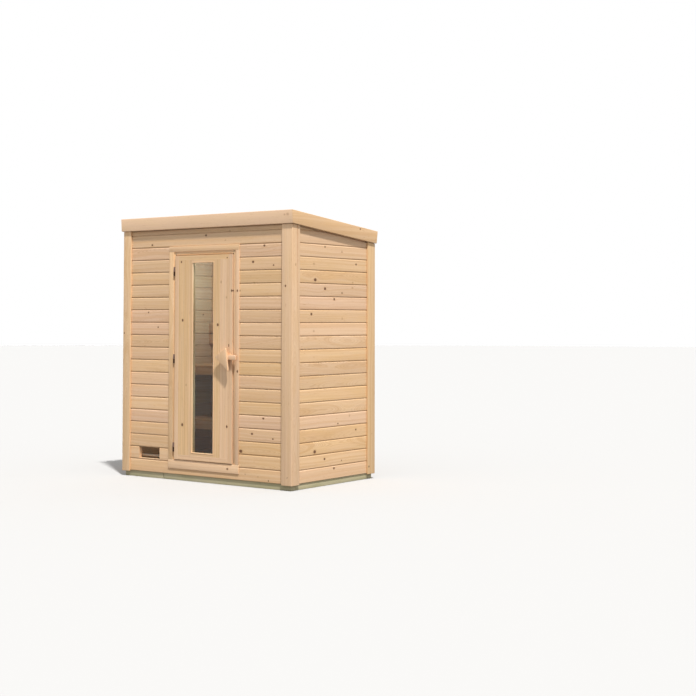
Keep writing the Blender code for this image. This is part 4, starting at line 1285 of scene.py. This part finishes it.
class CABIN_OT_hinges(bpy.types.Operator):
    """Build the three pinned hinges, a half on the lining and a half on the leaf"""
    bl_idname = "cabin.hinges"
    bl_label = "Hinges"

    def execute(self, context):
        finish = hinge_metal("hinge_bronze", context.scene.cabin_colours.bronze)
        # The leaf halves get a paler bronze than the lining halves: painted reflection, standing in for light the
        # upper halves catch
        painted_sheen = hinge_metal("painted_sheen_bronze", linear(150, 122, 112))
        centre = Vector(frame["joints"][0]["pos_m"])
        flat_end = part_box("door_stile_left")[0].x - SEAT_GAP
        for place in ("bottom", "middle", "top"):
            node = "hinge_%s_frame_half" % place
            low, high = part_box(node)
            upper_low, upper_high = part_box("hinge_%s_leaf_half" % place)
            split = upper_low.z - HALVES_GAP
            barrel = knuckle(node + "_barrel", centre, low.z, split, BARREL_RADIUS)
            foot = soft_block(node + "_foot", (low.x + FOOT_INSET, centre.y + FOOT_FRONT, low.z + FLAT_SHORT),
                              (centre.x + FOOT_REACH, high.y, split - FLAT_SHORT), FLAT_EDGE, 1)
            pin = knuckle(node + "_pin", centre, split - PIN_REACH, high.z, PIN_RADIUS)
            half = merge(node + "_look", [barrel, foot, pin])
            dress(half, finish, "hinge_metal", "cabin", node)
            node = "hinge_%s_leaf_half" % place
            barrel = knuckle(node + "_barrel", centre, upper_low.z, upper_high.z, BARREL_RADIUS)
            carve(barrel, (centre.x - BORE_HALF, centre.y - BORE_HALF, upper_low.z - CUTTER_SPARE),
                  (centre.x + BORE_HALF, centre.y + BORE_HALF, upper_high.z - PIN_REACH))
            front, bottom, top = centre.y + WING_FRONT, upper_low.z + FLAT_SHORT, upper_high.z - FLAT_SHORT
            wing = soft_block(node + "_wing", (centre.x + WING_START, front, bottom),
                              (flat_end, centre.y + WING_BACK, top), FLAT_EDGE, 1)
            plate = soft_block(node + "_plate", (flat_end - PLATE_THICKNESS, front, bottom),
                               (flat_end, upper_high.y, top), FLAT_EDGE, 1)
            half = merge(node + "_look", [barrel, wing, plate])
            # The leaf half takes the paler bronze, a painted reflection
            dress(half, painted_sheen, "hinge_metal", "door", node)
        return {"FINISHED"}


class CABIN_OT_vent_slider(bpy.types.Operator):
    """Build the bar behind the vent slot"""
    bl_idname = "cabin.vent_slider"
    bl_label = "Vent slider"

    def execute(self, context):
        bar = soft_block("vent_slider_look", *SLIDER, 0.002)
        lay_grain(bar, 0, 1, seed=97, spread=0.0)
        # The bar's wood is darkened to half and cooled: painted shade, for the shade it sits in deep in the slot
        dress(bar, softwood("shade_painted_slider_spruce", 0.50, -0.35), "slider_wood", "cabin", "vent_slider")
        return {"FINISHED"}


class CABIN_OT_benches(bpy.types.Operator):
    """Build the slatted benches and the backrest"""
    bl_idname = "cabin.benches"
    bl_label = "Benches"

    def execute(self, context):
        finish = softwood("bench_spruce", 0.96, 0.0, contrast=0.26)
        width, gap, thick, front_height, bearer, room = 0.094, 0.0125, 0.028, 0.090, 0.045, 0.0004
        for seed, (node, slats) in enumerate((("bench_upper", 5), ("bench_lower", 3)), 100):
            low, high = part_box(node)
            under = high.z - thick
            pieces = [soft_block("front_board", (low.x, low.y, high.z - front_height),
                                 (high.x, low.y + thick, under - room), 0.003)]
            for place in range(slats):
                start = low.y + place * (width + gap)
                pieces.append(soft_block("slat", (low.x, start, under), (high.x, start + width, high.z), 0.005))
            for middle_x in (low.x + bearer / 2, 0.0, high.x - bearer / 2):
                pieces.append(soft_block("bearer", (middle_x - bearer / 2, low.y + thick + room, low.z),
                                         (middle_x + bearer / 2, high.y, under - room), 0.002))
            bench = merge(node + "_look", pieces)
            lay_grain(bench, 0, 2, wild_knots=1, seed=seed, spread=0.03)
            dress(bench, finish, "bench_wood", "cabin", node)
        rest = (("slat_upper", 0, 0.004), ("slat_lower", 0, 0.004), ("batten_left", 2, 0.002),
                ("batten_middle", 2, 0.002), ("batten_right", 2, 0.002))
        for seed, (name, along, radius) in enumerate(rest, 103):
            node = "backrest_" + name
            board = soft_block(node + "_look", *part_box(node), radius)
            lay_grain(board, along, 1, wild_knots=1, seed=seed, spread=0.03)
            dress(board, finish, "bench_wood", "cabin", node)
        return {"FINISHED"}


# Stage
def ray_share(made):
    """1 for rays that come straight from the camera, a mirror or glass, and 0 for the rest."""
    path = made.new("ShaderNodeLightPath")
    share = made.math("MAXIMUM", path.outputs["Is Camera Ray"], path.outputs["Is Glossy Ray"])
    return made.math("MAXIMUM", share, path.outputs["Is Transmission Ray"])


class Sky(Finish):
    """The world's node graph, written as a material's is."""

    def __init__(self, world):
        world.use_nodes = True
        self.tree = world.node_tree
        self.tree.nodes.clear()


def put_lamp(light, place, direction):
    """Set the light at its place, shining in the direction."""
    lamp = bpy.data.objects.new(light.name, light)
    lamp.location = place
    lamp.rotation_euler = Vector(direction).to_track_quat("-Z", "Y").to_euler()
    bpy.context.scene.collection.objects.link(lamp)
    return lamp


# The floor's grey as the light and as the camera see it
FLOOR_GREYS = (0.20, 0.51)
# The sky's strength at the horizon, and what is added to it by straight overhead
SKY_STRENGTH = (0.36, 0.50)
SUN_STRENGTH = 4.18
SUN_WIDTH = 3.0
SUN_COLOUR = (1.0, 0.985, 0.96)
SUN_PLACE = (6.0, -4.0, 9.0)
SUN_DIRECTION = (-1.0, 0.706, -2.4)
# Faint cool lights in the room, facing its left wall, as daylight that the photo shows there
ROOM_LIGHTS = (("upper_glow", 9.0, (0.66, 0.86, 1.0), (0.35, -0.05, 1.95)),
               ("lower_glow", 0.7, (0.35, 0.74, 1.0), (0.45, -0.30, 0.78)))
ROOM_DIRECTION = (-1.0, -0.10, -0.05)
ROOM_LIGHT_SIZE = 0.3
ROOM_LIGHT_SPREAD = 100.0
# The camera, solved from the photo
CAMERA_LENS = 69.53
CAMERA_SHIFT = (0.0055, -0.1111)
CAMERA_PLACE = (7.885, -9.274, 1.418)
CAMERA_LOOK = (-0.5915, 0.8055, 0.0358)
CAMERA_ROLL = 0.107


class CABIN_OT_stage(bpy.types.Operator):
    """Set the pale floor, the soft light and the camera at the photo's angle"""
    bl_idname = "cabin.stage"
    bl_label = "Stage"

    def execute(self, context):
        scene = context.scene
        deselect_all()
        bpy.ops.mesh.primitive_circle_add(vertices=96, radius=60.0, fill_type="NGON",
                                          location=(0.0, 0.0, -0.0005))
        floor = context.object
        bpy.ops.object.transform_apply(location=True, rotation=True, scale=True)
        floor.name = "stage_floor"
        ground = Finish("stage_floor")
        lit, seen = ((grey,) * 3 for grey in FLOOR_GREYS)
        ground.surface(ground.mix(ray_share(ground), lit, seen), 1.0)
        ground.shader.inputs["Specular IOR Level"].default_value = 0.0
        floor.data.materials.append(ground.material)

        world = bpy.data.worlds.new("studio")
        scene.world = world
        sky = Sky(world)
        backdrop = sky.new("ShaderNodeBackground")
        sky.feed(backdrop.inputs["Color"], (1.0, 1.0, 1.0))
        height = sky.split(sky.new("ShaderNodeTexCoord").outputs["Generated"])[2]
        level, rise = SKY_STRENGTH
        soft = sky.math("MULTIPLY_ADD", sky.math("MAXIMUM", height, 0.0), rise, level)
        sky.feed(backdrop.inputs["Strength"], sky.math("MAXIMUM", ray_share(sky), soft))
        output = sky.new("ShaderNodeOutputWorld")
        sky.feed(output.inputs["Surface"], backdrop.outputs[0])

        sun = bpy.data.lights.new("sun", "SUN")
        sun.energy = SUN_STRENGTH
        sun.angle = math.radians(SUN_WIDTH)
        sun.color = SUN_COLOUR
        put_lamp(sun, SUN_PLACE, SUN_DIRECTION)

        for name, energy, colour, place in ROOM_LIGHTS:
            glow = bpy.data.lights.new(name, "AREA")
            glow.energy = energy
            glow.size = ROOM_LIGHT_SIZE
            glow.color = colour
            glow.spread = math.radians(ROOM_LIGHT_SPREAD)
            inside = put_lamp(glow, place, ROOM_DIRECTION)
            inside.visible_camera = False
            inside.visible_glossy = False
            inside.visible_transmission = False

        lens = bpy.data.cameras.new("camera")
        lens.lens = CAMERA_LENS
        lens.sensor_width = 36.0
        lens.shift_x, lens.shift_y = CAMERA_SHIFT
        lens.clip_end = 200.0
        camera = bpy.data.objects.new("camera", lens)
        turn = Vector(CAMERA_LOOK).normalized().to_track_quat("-Z", "Y").to_matrix().to_4x4()
        roll = Matrix.Rotation(math.radians(CAMERA_ROLL), 4, "Z")
        camera.matrix_world = Matrix.Translation(CAMERA_PLACE) @ turn @ roll
        scene.collection.objects.link(camera)
        scene.camera = camera
        scene.view_settings.view_transform = "Standard"
        return {"FINISHED"}


OPERATORS = (CABIN_OT_wall_planks, CABIN_OT_corner_boards, CABIN_OT_fascias, CABIN_OT_roof, CABIN_OT_base,
             CABIN_OT_floor_boards, CABIN_OT_door_frame, CABIN_OT_door_leaf, CABIN_OT_door_handle,
             CABIN_OT_hinges, CABIN_OT_vent_slider, CABIN_OT_benches, CABIN_OT_stage)


class CABIN_PT_panel(bpy.types.Panel):
    """The cabin's sizes, colours and pieces"""
    bl_idname = "CABIN_PT_panel"
    bl_label = "Sauna cabin"
    bl_space_type = "VIEW_3D"
    bl_region_type = "UI"
    bl_category = "Sauna cabin"

    def draw(self, context):
        for group in (context.scene.cabin_sizes, context.scene.cabin_colours):
            for name in group.__annotations__:
                self.layout.prop(group, name)
        for operator in OPERATORS:
            self.layout.operator(operator.bl_idname)


CLASSES = (CabinSizes, CabinColours, *OPERATORS, CABIN_PT_panel)


def register():
    for made in CLASSES:
        bpy.utils.register_class(made)
    bpy.types.Scene.cabin_sizes = PointerProperty(type=CabinSizes)
    bpy.types.Scene.cabin_colours = PointerProperty(type=CabinColours)


def unregister():
    del bpy.types.Scene.cabin_colours
    del bpy.types.Scene.cabin_sizes
    for made in reversed(CLASSES):
        bpy.utils.unregister_class(made)


def main():
    register()
    for operator in OPERATORS:
        group, name = operator.bl_idname.split(".")
        getattr(getattr(bpy.ops, group), name)()


if __name__ == "__main__":
    main()
